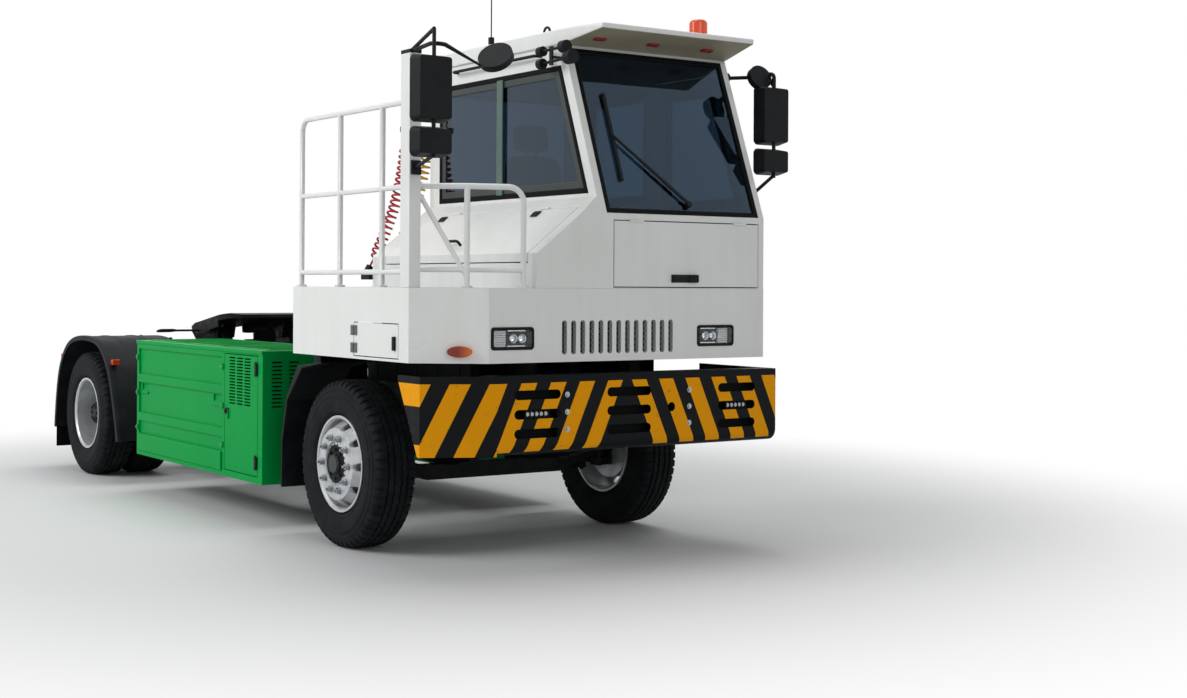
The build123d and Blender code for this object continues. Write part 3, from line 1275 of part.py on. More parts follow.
def mirror_head(x, middle_y, low_z, high_z):
    with BuildSketch(Plane.YZ.offset(x - HEAD_BACK)) as outline:
        with Locations((middle_y, (low_z + high_z) / 2)):
            RectangleRounded(HEAD_WIDTH, high_z - low_z, HEAD_CORNER_R)
    extrude(outline.sketch, amount=HEAD_DEPTH, taper=HEAD_TAPER)


with BuildPart() as mirrors_right:
    post_y = -BODY_HALF + POST_WIDTH / 2
    stalk = Vector(RIGHT_MIRROR_X + ARM_OFFSET, -MIRROR_STALK_Y, POST_TOP_Z + ARM_RISE)
    disc = Vector(FRONT_AXLE_X + FRONT_REACH - 98, -MIRROR_STALK_Y + DISC_INBOARD, POST_TOP_Z - 40)
    root = Vector(POST_REAR_X + 40, post_y, POST_TOP_Z + ARM_RISE)
    tube([root, stalk, disc + Vector(0, 0, 5)], ARM_R, 60)
    bar(root, stalk + Vector(0, 0, BRACE_APEX), BRACE_R)
    bar(stalk + Vector(0, 0, BRACE_APEX), (stalk.X, stalk.Y, LOW_ARM_Z - 15), BRACE_R)
    bar((stalk.X, stalk.Y, LOW_ARM_Z), (CHAMFER_X + 9, post_y, RIGHT_FOOT_Z), BRACE_R)
    block(CHAMFER_X + FIT, CHAMFER_X + 16, post_y - 30, post_y + 30, RIGHT_FOOT_Z - 40, RIGHT_FOOT_Z + 40)
    block(POST_REAR_X, CHAMFER_X, -BODY_HALF, -BODY_HALF + POST_WIDTH, POST_TOP_Z + FIT, POST_TOP_Z + 20)
    for head in MIRROR_HEADS[1:3]:
        mirror_head(*head)
    with Locations(Plane(origin=disc, z_dir=(0.45, 0.1, 0.89)).location):
        Cylinder(DISC_MIRROR_R, DISC_DEPTH)
mirrors_right.part.label = "mirrors_right"
export_step(mirrors_right.part, "parts/mirrors_right.step")

with BuildPart() as mirrors_left:
    pad_y = CAB_LEFT_Y + FIT + PAD_THICK / 2
    root = Vector(screen_x(LEFT_ARM_Z) - 30, pad_y + PAD_THICK / 2, LEFT_ARM_Z)
    stalk = Vector(LEFT_MIRROR_X + ARM_OFFSET, MIRROR_STALK_Y, LEFT_ARM_Z)
    foot = Vector(screen_x(LEFT_FOOT_Z) - 33, pad_y + PAD_THICK / 2, LEFT_FOOT_Z)
    disc = Vector(stalk.X - 70, MIRROR_STALK_Y - LEFT_DISC_INBOARD, LEFT_ARM_Z - 25)
    elbow = (root.X + 110, MIRROR_STALK_Y, LEFT_ARM_Z)
    tube([root, elbow, stalk, (stalk.X, stalk.Y, LOW_ARM_Z - 15)], ARM_R, 30)
    bar((stalk.X, stalk.Y, LOW_ARM_Z), foot, BRACE_R)
    for pad, pad_r in ((root, PAD_R), (foot, FOOT_PAD_R)):
        with Locations(Plane(origin=(pad.X, pad_y, pad.Z), z_dir=(0, 1, 0)).location):
            Cylinder(pad_r, PAD_THICK)
    for head in MIRROR_HEADS[3:]:
        mirror_head(*head)
    with Locations(Plane(origin=disc, z_dir=(0.45, -0.1, 0.89)).location):
        Cylinder(LEFT_DISC_R, DISC_DEPTH)
    bar(disc + Vector(0, 0, 5), stalk - Vector(40, 0, 0), 9)
mirrors_left.part.label = "mirrors_left"
export_step(mirrors_left.part, "parts/mirrors_left.step")

with BuildPart() as mirror_glass:
    for x, middle_y, low_z, high_z in MIRROR_HEADS[1:]:
        with BuildSketch(Plane.YZ.offset(x - HEAD_BACK - FIT - PANE_THICK)) as pane:
            with Locations((middle_y, (low_z + high_z) / 2)):
                pane_height = high_z - low_z - 2 * PANE_MARGIN
                RectangleRounded(HEAD_WIDTH - 2 * PANE_MARGIN, pane_height, HEAD_CORNER_R - PANE_MARGIN)
        extrude(pane.sketch, amount=PANE_THICK)
mirror_glass.part.label = "mirror_glass"
export_step(mirror_glass.part, "parts/mirror_glass.step")

# Lamps

BUMPER_LAMP_LENGTH = 158
BUMPER_LAMP_DEPTH = 45
BUMPER_LAMP_SET_IN = 4

with BuildPart() as head_lamps:
    for y in LAMP_YS:
        with BuildSketch(Plane.YZ.offset(APRON_X - LAMP_DEPTH)) as lens:
            with Locations((y, LAMP_Z)):
                RectangleRounded(2 * LAMP_HALF_W, 2 * LAMP_HALF_H, 18)
        extrude(lens.sketch, amount=LAMP_DEPTH + 8)
    for middle_y, half_length in (SLOT_GROUPS[1], SLOT_GROUPS[3]):
        lamp_y = (middle_y - BUMPER_LAMP_LENGTH / 2, middle_y + BUMPER_LAMP_LENGTH / 2)
        lamp_z = (SLOT_Z[1] - SLOT_HALF_H + FIT, SLOT_Z[1] + SLOT_HALF_H - FIT)
        block(BUMPER_X - BUMPER_LAMP_DEPTH, BUMPER_X - BUMPER_LAMP_SET_IN, *lamp_y, *lamp_z)
head_lamps.part.label = "head_lamps"
export_step(head_lamps.part, "parts/head_lamps.step")

CHAMFER_OUT = Vector(sin(CHAMFER_TURN), -cos(CHAMFER_TURN), 0)
CHAMFER_ALONG = Vector(cos(CHAMFER_TURN), sin(CHAMFER_TURN), 0)
INDICATOR = Vector(CHAMFER_X, -BODY_HALF, 1262) + CHAMFER_ALONG * 290 + CHAMFER_OUT * FIT

with BuildPart() as signal_lamps:
    with BuildSketch(Plane(origin=INDICATOR, x_dir=CHAMFER_ALONG, z_dir=CHAMFER_OUT)) as lens:
        Ellipse(72, 32)
    extrude(lens.sketch, amount=28)
    left_face = Plane(origin=(APRON_X - 120, CAB_LEFT_Y + FIT, 1262), x_dir=(-1, 0, 0), z_dir=(0, 1, 0))
    with BuildSketch(left_face) as lens:
        Ellipse(72, 32)
    extrude(lens.sketch, amount=28)
    for label, side in SIDES:
        y = side * 760
        lamp_z = (RAIL_BOTTOM_Z + 30, RAIL_BOTTOM_Z + 160)
        block(REAR_END_X + 21 + FIT, REAR_END_X + 60, y - 140, y + 140, *lamp_z)
signal_lamps.part.label = "signal_lamps"
export_step(signal_lamps.part, "parts/signal_lamps.step")

with BuildPart() as beacon:
    with Locations((FRONT_AXLE_X + 960, 930, ROOF_TOP_Z + FIT + 70)):
        Cylinder(58, 140)
    fillet(beacon.faces().sort_by(Axis.Z)[-1].edges(), 30)
beacon.part.label = "beacon"
export_step(beacon.part, "parts/beacon.step")

ANTENNA_TOP_Z = 3720

with BuildPart() as roof_fittings:
    x = FRONT_AXLE_X + 20
    bar((x, -40, ROOF_TOP_Z + FIT), (x, -40, ROOF_TOP_Z + 60), 20)
    bar((x, -40, ROOF_TOP_Z + 50), (x, -40, ANTENNA_TOP_Z), 4)
    x = FRONT_AXLE_X + 457
    block(x - 40, x + 40, 80, 120, ROOF_TOP_Z + FIT, ROOF_TOP_Z + 15)
    with Locations(Plane(origin=(x, 100, ROOF_TOP_Z + 50), z_dir=(0, 1, 0)).location):
        Torus(32, 8)
    bar_y = CAB_RIGHT_Y - 45
    tube(
        [
            (FRONT_AXLE_X - 290, CAB_RIGHT_Y - FIT, 3060),
            (FRONT_AXLE_X - 290, bar_y, 3060),
            (FRONT_AXLE_X + 680, bar_y, 3060),
            (FRONT_AXLE_X + 680, CAB_RIGHT_Y - FIT, 3060),
        ],
        10,
        25,
    )
roof_fittings.part.label = "roof_fittings"
export_step(roof_fittings.part, "parts/roof_fittings.step")

WORK_LAMPS = (
    ("x", "z", "radius", "depth"),
    (FRONT_AXLE_X + 790, 3070, 31, 44),
    (FRONT_AXLE_X + 790, 2994, 31, 44),
    (FRONT_AXLE_X + 1032, 3074, 37, 52),
    (FRONT_AXLE_X + 1094, 3004, 43, 58),
)
LAMP_ROW_Y = CAB_RIGHT_Y - 75
LAMP_BRACKET_X = FRONT_AXLE_X + 895

with BuildPart() as work_lamps:
    for x, z, radius, depth in WORK_LAMPS[1:]:
        bar((x - depth / 2, LAMP_ROW_Y, z), (x + depth / 2, LAMP_ROW_Y, z), radius)
    for rear, front in ((WORK_LAMPS[1], WORK_LAMPS[3]), (WORK_LAMPS[2], WORK_LAMPS[4])):
        bar((rear[0], LAMP_ROW_Y, rear[1]), (front[0], LAMP_ROW_Y, front[1]), 9)
    block(LAMP_BRACKET_X - 14, LAMP_BRACKET_X + 14, LAMP_ROW_Y - 6, LAMP_ROW_Y + 6, 2975, 3090)
    block(LAMP_BRACKET_X - 14, LAMP_BRACKET_X + 14, LAMP_ROW_Y, CAB_RIGHT_Y - FIT, 3020, 3032)
work_lamps.part.label = "work_lamps"
export_step(work_lamps.part, "parts/work_lamps.step")

# Wiper, in the screen's own plane: across the cab, and up the glass from the screen's foot

WIPER_PIVOT = (590, 72)
BLADE_Y = 116
BLADE_LOW = 215
BLADE_HIGH = 790
BLADE_HALF_W = 11
BLADE_OFF_GLASS = 4
BLADE_DEPTH = 14
ARM_ROOT_HALF_W = 15
ARM_TIP_HALF_W = 9
ARM_DEPTH = 9
WIPER_PIVOT_R = 20
GLASS_INSET = 18 - GLASS

with BuildPart() as wiper:
    across, up = WIPER_PIVOT
    arm_inset = GLASS_INSET - BLADE_OFF_GLASS - BLADE_DEPTH + 1
    blade_mid = (BLADE_LOW + BLADE_HIGH) / 2
    blade = [
        (BLADE_Y - BLADE_HALF_W, BLADE_LOW),
        (BLADE_Y + BLADE_HALF_W, BLADE_LOW),
        (BLADE_Y + BLADE_HALF_W, BLADE_HIGH),
        (BLADE_Y - BLADE_HALF_W, BLADE_HIGH),
    ]
    prism(screen_plane(GLASS_INSET - BLADE_OFF_GLASS), blade, BLADE_DEPTH)
    arm = [
        (across - ARM_ROOT_HALF_W, up),
        (across, up + ARM_ROOT_HALF_W),
        (BLADE_Y, blade_mid + ARM_TIP_HALF_W),
        (BLADE_Y, blade_mid - ARM_TIP_HALF_W),
    ]
    prism(screen_plane(arm_inset), arm, ARM_DEPTH)
    with BuildSketch(screen_plane(GLASS_INSET - FIT)) as foot:
        with Locations(WIPER_PIVOT):
            Circle(WIPER_PIVOT_R)
    extrude(foot.sketch, amount=GLASS_INSET - arm_inset + ARM_DEPTH + 2)
wiper.part.label = "wiper"
export_step(wiper.part, "parts/wiper.step")

# Air hoses behind the cab

HOSE_X = CAB_REAR_X - 90
HOSE_R = 42
HOSE_BEND_R = 800
COUPLING_R = 24
COUPLING_LENGTH = 60
HOSES = (
    ("label", "route across and up, from the cab's rear wall to the frame side"),
    ("red_hose", ((-240, 2660), (-262, 2420), (-375, 2020), (-520, 1762))),
    ("yellow_hose", ((-60, 2660), (-85, 2430), (-200, 2080), (-350, 1762))),
)
BRACKET_TOP = (2690, 2730)
BRACKET_LOW = (1670, 1730)

with BuildPart() as hose_couplings:
    for label, route in HOSES[1:]:
        points = [Vector(HOSE_X, y, z) for y, z in route]
        for end, near in ((points[0], points[1]), (points[-1], points[-2])):
            along = (end - near).normalized()
            bar(end + along * FIT, end + along * COUPLING_LENGTH, COUPLING_R)
        foot_y = route[-1][0] - 20
        block(HOSE_X - 30, CAB_REAR_X - FIT, foot_y - 35, foot_y + 55, *BRACKET_LOW)
    block(HOSE_X - 30, CAB_REAR_X - FIT, HOSES[1][1][0][0] - 35, 30, *BRACKET_TOP)
hose_couplings.part.label = "hose_couplings"
export_step(hose_couplings.part, "parts/hose_couplings.step")

for label, route in HOSES[1:]:
    with BuildPart() as hose:
        tube([(HOSE_X, y, z) for y, z in route], HOSE_R, HOSE_BEND_R)
    hose.part.label = label
    export_step(hose.part, f"parts/{label}.step")
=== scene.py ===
import bpy
import bmesh
import json
from math import atan2, cos, hypot, pi, radians, sin
from mathutils import Matrix, Vector


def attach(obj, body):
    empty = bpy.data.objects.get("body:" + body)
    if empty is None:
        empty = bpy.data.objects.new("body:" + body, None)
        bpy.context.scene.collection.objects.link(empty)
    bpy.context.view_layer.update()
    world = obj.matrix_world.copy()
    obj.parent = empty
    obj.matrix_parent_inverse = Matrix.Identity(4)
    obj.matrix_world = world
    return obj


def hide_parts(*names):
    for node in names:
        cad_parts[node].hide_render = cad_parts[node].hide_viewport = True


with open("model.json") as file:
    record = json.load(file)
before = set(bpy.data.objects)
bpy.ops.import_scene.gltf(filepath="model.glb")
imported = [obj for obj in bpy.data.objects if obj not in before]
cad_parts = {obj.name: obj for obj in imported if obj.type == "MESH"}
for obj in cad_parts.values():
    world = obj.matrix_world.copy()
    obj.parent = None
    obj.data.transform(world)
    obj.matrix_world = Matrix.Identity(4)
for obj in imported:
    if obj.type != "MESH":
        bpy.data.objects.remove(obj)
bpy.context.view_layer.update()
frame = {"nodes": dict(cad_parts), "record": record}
nodes = frame["nodes"]
record = frame["record"]
scene = bpy.context.scene
slotOf = {part["node"]: part["material_slot"] for part in record["subparts"]}
bodyOf = {node: body for body, members in record["behaviour"]["bodies"].items() for node in members}
frontAxle, rearAxle = 1.940, -2.580  # x of the two axles, as in the part's source
tyreRadius = 0.522
print("frame:", len(nodes), "nodes")


# shading tools
def linear(code, alpha=1.0):
    parts = [int(code[i:i + 2], 16) / 255 for i in (1, 3, 5)]
    return [c / 12.92 if c <= 0.04045 else ((c + 0.055) / 1.055) ** 2.4 for c in parts] + [alpha]


def addNode(tree, kind, sockets=None, **settings):
    made = tree.nodes.new("ShaderNode" + kind)
    for name, value in settings.items():
        setattr(made, name, value)
    for name, value in (sockets or {}).items():
        if isinstance(value, bpy.types.NodeSocket):
            tree.links.new(value, made.inputs[name])
        else:
            made.inputs[name].default_value = value
    return made


def newMaterial(name, shaderSockets):
    made = bpy.data.materials.new(name)
    made.use_nodes = True
    tree = made.node_tree
    tree.nodes.clear()
    shader = addNode(tree, "BsdfPrincipled", shaderSockets)
    addNode(tree, "OutputMaterial", {"Surface": shader.outputs["BSDF"]})
    place = addNode(tree, "TexCoord").outputs["Object"]
    return made, tree, shader, place


def speckle(tree, place, spacing, detail=3.0, stretch=(1, 1, 1)):
    # noise whose lumps are about spacing metres apart
    moved = addNode(tree, "Mapping", {"Vector": place, "Scale": [s / spacing for s in stretch]})
    sockets = {"Vector": moved.outputs[0], "Scale": 1.0, "Detail": detail}
    return addNode(tree, "TexNoise", sockets).outputs["Fac"]


def band(tree, value, low, high, toLow=0.0, toHigh=1.0):
    return addNode(tree, "MapRange", {0: value, 1: low, 2: high, 3: toLow, 4: toHigh}).outputs[0]


def maths(tree, operation, *values):
    return addNode(tree, "Math", dict(enumerate(values)), operation=operation).outputs[0]


def tint(tree, factor, first, second):
    mixed = addNode(tree, "Mix", {0: factor, 6: first, 7: second}, data_type="RGBA")
    return mixed.outputs[2]


def surface(tree, shader, colour=None, rough=None, height=None, depth=0.001):
    if colour is not None:
        tree.links.new(colour, shader.inputs["Base Color"])
    if rough is not None:
        tree.links.new(rough, shader.inputs["Roughness"])
    if height is not None:
        bump = addNode(tree, "Bump", {"Height": height, "Distance": depth, "Strength": 1.0})
        tree.links.new(bump.outputs[0], shader.inputs["Normal"])


# two-pack enamel sprayed on sheet steel: a smooth gloss with faint orange peel
# and a little road film that runs down in streaks
enamels = {
    "whiteEnamel": {"clean": "#E6E8E6", "film": "#D2D4D0", "rough": (0.26, 0.36), "gloss": 0.5, "coat": 0.1},
    "greenEnamel": {"clean": "#009A44", "film": "#128C46", "rough": (0.28, 0.40), "gloss": 0.03, "coat": 0.0},
}
enamelPeel = 0.006  # the peel's real 3 mm spacing drawn twice as coarse, so that it shows
streakSpacing = 0.09


def enamel(name, look):
    made, tree, shader, place = newMaterial(
        name, {"IOR": 1.5, "Specular IOR Level": look["gloss"], "Coat Weight": look["coat"],
               "Coat Roughness": 0.08})
    clouds = speckle(tree, place, 0.55, 4.0)
    streaks = speckle(tree, place, streakSpacing, 2.0, (1, 1, 0.12))
    film = band(tree, maths(tree, "MULTIPLY", clouds, streaks), 0.10, 0.50, 0.0, 0.40)
    colour = tint(tree, film, linear(look["clean"]), linear(look["film"]))
    rough = band(tree, clouds, 0.2, 0.8, *look["rough"])
    surface(tree, shader, colour, rough, speckle(tree, place, enamelPeel, 1.0), 0.00006)
    return made


finish = {name: enamel(name, look) for name, look in enamels.items()}


# satin chassis black: brushed-on paint over rolled steel, with grey dust in its hollows
def chassisPaint():
    made, tree, shader, place = newMaterial("chassisBlack", {"IOR": 1.5, "Specular IOR Level": 0.1})
    dust = band(tree, speckle(tree, place, 0.16, 6.0), 0.45, 0.75, 0.0, 0.75)
    colour = tint(tree, dust, linear("#101214"), linear("#25272A"))
    rough = band(tree, speckle(tree, place, 0.05), 0.3, 0.7, 0.38, 0.62)
    surface(tree, shader, colour, rough, speckle(tree, place, 0.008, 4.0), 0.0002)
    return made


finish["chassisBlack"] = chassisPaint()


# hazard paint on the bumper: amber bars on black that lean away from the middle, scuffed on the bars
hazardLook = {"apex": 0.07, "top": 1.124, "start": 0.015, "pitch": 0.205, "barShare": 0.53, "lean": 0.45,
              "barTop": 1.083, "amber": "#EFA006", "black": "#0F1113"}


def hazardPaint(look):
    made, tree, shader, place = newMaterial("hazardPaint", {"IOR": 1.5, "Specular IOR Level": 0.08})
    axes = addNode(tree, "SeparateXYZ", {0: place}).outputs
    aside = maths(tree, "ABSOLUTE", maths(tree, "SUBTRACT", axes[1], look["apex"]))
    first = look["lean"] * look["top"] + look["start"]
    slant = maths(tree, "MULTIPLY_ADD", axes[2], look["lean"], aside)
    slant = maths(tree, "SUBTRACT", slant, first)
    turn = maths(tree, "FRACT", maths(tree, "DIVIDE", slant, look["pitch"]))
    bar = maths(tree, "LESS_THAN", turn, look["barShare"])
    bar = maths(tree, "MULTIPLY", bar, maths(tree, "GREATER_THAN", slant, 0.0))
    bar = maths(tree, "MULTIPLY", bar, maths(tree, "LESS_THAN", axes[2], look["barTop"]))
    scuff = band(tree, speckle(tree, place, 0.03, 8.0), 0.66, 0.74, 1.0, 0.6)
    bar = maths(tree, "MULTIPLY", bar, scuff)
    colour = tint(tree, bar, linear(look["black"]), linear(look["amber"]))
    rough = band(tree, speckle(tree, place, 0.05), 0.3, 0.7, 0.34, 0.55)
    surface(tree, shader, colour, rough, speckle(tree, place, 0.006, 2.0), 0.0001)
    return made


finish["hazardBars"] = hazardPaint(hazardLook)


# moulded and cast finishes: fine grain in the bump, a worn or dusty second colour in patches
grainy = {
    # name: base, patch, roughness span, metallic,
    # grain spacing (m), grain depth (m), patch spacing (m), gloss
    "blackAbs": ("#101214", "#1C1E21", (0.42, 0.60), 0.0, 0.0022, 0.00018, 0.12, 0.12),
    "fenderPlastic": ("#14171A", "#24282A", (0.48, 0.68), 0.0, 0.0030, 0.00025, 0.20, 0.12),
    "greyPaint": ("#5B6063", "#6C7174", (0.40, 0.58), 0.0, 0.0050, 0.00012, 0.15, 0.5),
    "trimGrey": ("#2F3634", "#3A423F", (0.36, 0.52), 0.0, 0.0040, 0.00010, 0.25, 0.3),
    "mullionGreen": ("#4E635B", "#5A7168", (0.36, 0.52), 0.0, 0.0040, 0.00010, 0.25, 0.3),
    "zincSteel": ("#A9ADB0", "#8C8F91", (0.26, 0.42), 1.0, 0.0030, 0.00006, 0.03, 0.5),
    "greasedSteel": ("#1A1B1D", "#4A4B4C", (0.22, 0.46), 0.75, 0.0060, 0.00030, 0.11, 0.5),
    "motorAlloy": ("#8B8F92", "#75797C", (0.38, 0.55), 0.9, 0.0025, 0.00025, 0.06, 0.5),
    "wheelSilver": ("#C6C9CB", "#A9ACAE", (0.28, 0.44), 0.55, 0.0040, 0.00006, 0.08, 0.5),
    "gasketRubber": ("#0A0C0D", "#131516", (0.50, 0.66), 0.0, 0.0040, 0.00010, 0.10, 0.06),
    "khakiLining": ("#8F8874", "#A39B84", (0.50, 0.70), 0.0, 0.0060, 0.00015, 0.25, 0.5),
    "tyreRubber": ("#17191B", "#2A2C2D", (0.62, 0.80), 0.0, 0.0040, 0.00030, 0.09, 0.08),
    "seatVinyl": ("#1C1E21", "#2A2C30", (0.44, 0.58), 0.0, 0.0030, 0.00030, 0.08, 0.3),
    "chromePlate": ("#D9DCDD", "#C4C7C9", (0.06, 0.16), 1.0, 0.0200, 0.00004, 0.05, 0.5),
    "redHose": ("#B0152B", "#C93A48", (0.30, 0.42), 0.0, 0.0030, 0.00006, 0.05, 0.5),
    "yellowHose": ("#D9A20C", "#E6BC3E", (0.30, 0.42), 0.0, 0.0030, 0.00006, 0.05, 0.5),
}


def grainFinish(name, base, patch, rough, metal, grain, depth, spread, gloss):
    made, tree, shader, place = newMaterial(name, {"Metallic": metal, "Specular IOR Level": gloss})
    patches = speckle(tree, place, spread, 6.0)
    colour = tint(tree, band(tree, patches, 0.42, 0.72, 0.0, 0.8), linear(base), linear(patch))
    rough = band(tree, patches, 0.3, 0.7, *rough)
    surface(tree, shader, colour, rough, speckle(tree, place, grain, 2.0), depth)
    return made


finish.update({name: grainFinish(name, *look) for name, look in grainy.items()})


# see-through finishes: laminated tinted glass whose reflections carry a painted blue sky reflection, clear
# and coloured polycarbonate, silvered mirror
clear = {
    # name: colour, transmission, roughness, metallic, IOR
    "tintedGlass": ("#4E6474", 1.0, (0.0, 0.004), 0.0, 1.60),
    "clearLens": ("#F4F6F7", 1.0, (0.02, 0.06), 0.0, 1.35),
    "amberLens": ("#F07C18", 0.35, (0.08, 0.20), 0.0, 1.45),
    "redLens": ("#C8140E", 0.70, (0.08, 0.20), 0.0, 1.45),
    "markerLens": ("#E0440E", 0.35, (0.10, 0.22), 0.0, 1.45),
    "beaconLens": ("#E8501A", 0.65, (0.06, 0.16), 0.0, 1.45),
    "ribbedLens": ("#E4E8EA", 0.25, (0.18, 0.34), 0.0, 1.45),
    "mirrorSilver": ("#D5DADC", 0.0, (0.01, 0.04), 1.0, 1.50),
}
# painted reflection: a blue tint on the glass's reflections, standing in for a blue sky
paintedSkyTint = "#A9CBEE"
# painted shade: the right indicator darkens from amber at its inner end to deep red at its outer end
indicatorShadeLook = {"deep": "#9A2C0A", "span": (-1.035, -0.975)}


def clearFinish(name, tone, transmission, rough, metal, ior):
    made, tree, shader, place = newMaterial(
        name, {"Transmission Weight": transmission, "IOR": ior, "Metallic": metal, "Base Color": linear(tone),
               "Specular Tint": linear(paintedSkyTint if name == "tintedGlass" else "#FFFFFF")})
    colour = None
    # painted shade: deep red towards the right indicator's outer end
    if name == "amberLens":
        across = addNode(tree, "SeparateXYZ", {0: place}).outputs[1]
        share = band(tree, across, *indicatorShadeLook["span"])
        colour = tint(tree, share, linear(indicatorShadeLook["deep"]), linear(tone))
    surface(tree, shader, colour, band(tree, speckle(tree, place, 0.2, 5.0), 0.3, 0.7, *rough))
    return made


finish.update({name: clearFinish(name, *look) for name, look in clear.items()})
print("finishes:", len(finish))


# mesh tools
def newPiece(name, form, tone, body="chassis", smooth=35, recalc=True):
    if recalc:
        bmesh.ops.recalc_face_normals(form, faces=form.faces)
    mesh = bpy.data.meshes.new(name)
    form.to_mesh(mesh)
    form.free()
    mesh.materials.append(finish[tone])
    mesh.shade_smooth()
    mesh.set_sharp_from_angle(angle=radians(smooth))
    made = bpy.data.objects.new(name, mesh)
    scene.collection.objects.link(made)
    # broad faces keep their own normal, so that panels and panes reflect as flat sheets
    flat = made.modifiers.new("flatFaces", "WEIGHTED_NORMAL")
    flat.keep_sharp = True
    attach(made, body)
    return made


def breakEdges(form, edges, width, segments=2):
    bmesh.ops.bevel(form, geom=edges, offset=width, offset_type="OFFSET", segments=segments, profile=0.5,
                    affect="EDGES", clamp_overlap=True, material=-1)


def addBox(form, low, high, edge=0.0, segments=2, turn=None):
    verts = bmesh.ops.create_cube(form, size=1.0)["verts"]
    low, high = Vector(low), Vector(high)
    bmesh.ops.scale(form, verts=verts, vec=high - low)
    if edge:
        edges = list({e for v in verts for e in v.link_edges})
        before = set(form.verts) - set(verts)
        breakEdges(form, edges, edge, segments)
        verts = [v for v in form.verts if v not in before]
    middle = (low + high) / 2
    if turn is not None:
        bmesh.ops.transform(form, matrix=turn, verts=verts)
    bmesh.ops.translate(form, vec=middle, verts=verts)


def addRod(form, start, end, radius, sides=16, tip=None, edge=0.0):
    start, end = Vector(start), Vector(end)
    run = end - start
    before = set(form.verts)
    verts = bmesh.ops.create_cone(form, cap_ends=True, segments=sides, radius1=radius,
                                  radius2=radius if tip is None else tip, depth=run.length)["verts"]
    if edge:
        caps = [f for f in {f for v in verts for f in v.link_faces} if len(f.verts) == sides]
        breakEdges(form, list({e for f in caps for e in f.edges}), edge)
        verts = [v for v in form.verts if v not in before]
    turn = Vector((0, 0, 1)).rotation_difference(run).to_matrix().to_4x4()
    bmesh.ops.transform(form, matrix=Matrix.Translation((start + end) / 2) @ turn, verts=verts)


def addScrew(form, spot, out, radius=0.006):
    # a low round head
    addRod(form, spot, Vector(spot) + Vector(out), radius, 12, edge=0.001)


def addPlate(form, points, depth, edge):
    # a flat outline of 3D points given its thickness along depth
    before = set(form.verts)
    face = form.faces.new([form.verts.new(p) for p in points])
    grown = bmesh.ops.extrude_face_region(form, geom=[face])["geom"]
    far = [g for g in grown if isinstance(g, bmesh.types.BMVert)]
    bmesh.ops.translate(form, vec=Vector(depth), verts=far)
    verts = [v for v in form.verts if v not in before]
    faces = list({f for v in verts for f in v.link_faces})
    bmesh.ops.recalc_face_normals(form, faces=faces)
    breakEdges(form, list({e for f in faces for e in f.edges}), edge)


def addSpin(form, profile, centre, axis, steps):
    # a ring or turned shape: profile points are (along the axis, radius)
    axis = Vector(axis).normalized()
    out = axis.orthogonal().normalized()
    before = set(form.verts)
    verts = [form.verts.new(Vector(centre) + axis * a + out * r) for a, r in profile]
    edges = [form.edges.new(pair) for pair in zip(verts, verts[1:])]
    bmesh.ops.spin(form, geom=verts + edges, cent=Vector(centre), axis=axis, angle=2 * pi, steps=steps,
                   use_merge=True)
    made = [v for v in form.verts if v not in before]
    bmesh.ops.remove_doubles(form, verts=made, dist=1e-5)


def addHexNut(form, centre, axis, across, height, stud=0.0):
    axis = Vector(axis).normalized()
    centre = Vector(centre)
    addRod(form, centre, centre + axis * height, across / 2 / cos(pi / 6), 6, edge=height * 0.12)
    if stud:
        foot, tip = centre + axis * height * 0.9, centre + axis * (height + stud)
        addRod(form, foot, tip, across * 0.26, 10, edge=stud * 0.2)


def addLoops(form, loops, closeFirst=False, closeLast=False, joined=False):
    # a ring of edges extruded from loop to loop, and from the last to the first if they are joined
    ring = [form.verts.new(p) for p in loops[0]]
    edges = first = [form.edges.new(pair) for pair in zip(ring, ring[1:] + ring[:1])]
    made = list(ring)
    for loop in loops[1:] + (loops[:1] if joined else []):
        grown = bmesh.ops.extrude_edge_only(form, edges=edges)["geom"]
        fresh = {g for g in grown if isinstance(g, bmesh.types.BMVert)}
        edges = [g for g in grown if isinstance(g, bmesh.types.BMEdge) and fresh.issuperset(g.verts)]
        ring = [next(e.other_vert(v) for e in v.link_edges if e.other_vert(v) in fresh) for v in ring]
        for vert, spot in zip(ring, loop):
            vert.co = spot
        made += ring
    if joined:
        bmesh.ops.remove_doubles(form, verts=made, dist=1e-6)
    for cap in ([first] if closeFirst else []) + ([edges] if closeLast else []):
        bmesh.ops.contextual_create(form, geom=cap)


def sideBox(form, side, xs, ys, zs, edge=0.003, segments=2):
    # a box given by its spans, with y counted outwards on one side of the vehicle
    y0, y1 = sorted(side * y for y in ys)
    addBox(form, (xs[0], y0, zs[0]), (xs[1], y1, zs[1]), edge, segments)


def around(axleX, radius, angle, y):
    # a point on a circle about a wheel's axle
    return Vector((axleX + radius * sin(angle), y, tyreRadius + radius * cos(angle)))


def mergedCopy(node):
    # a node's solid with its seams closed and its flat faces whole
    form = bmesh.new()
    form.from_mesh(nodes[node].data)
    bmesh.ops.remove_doubles(form, verts=form.verts, dist=2e-5)
    bmesh.ops.dissolve_limit(form, angle_limit=radians(0.6), verts=form.verts, edges=form.edges)
    return form


def newLine(name, points, radius, resolution):
    line = bpy.data.curves.new(name, "CURVE")
    line.dimensions = "3D"
    spline = line.splines.new("NURBS")
    spline.points.add(len(points) - 1)
    for spot, point in zip(spline.points, points):
        spot.co = (*point, 1.0)
        spot.radius = radius
    spline.order_u = 3
    spline.use_endpoint_u = True
    spline.resolution_u = resolution
    return line


def curvePiece(name, points, radius, material, body):
    line = newLine(name, points, radius, 3)
    line.bevel_depth = 1.0  # times each point's radius
    line.bevel_resolution = 4
    line.use_fill_caps = True
    line.materials.append(material)
    made = bpy.data.objects.new(name, line)
    scene.collection.objects.link(made)
    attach(made, body)
    return made


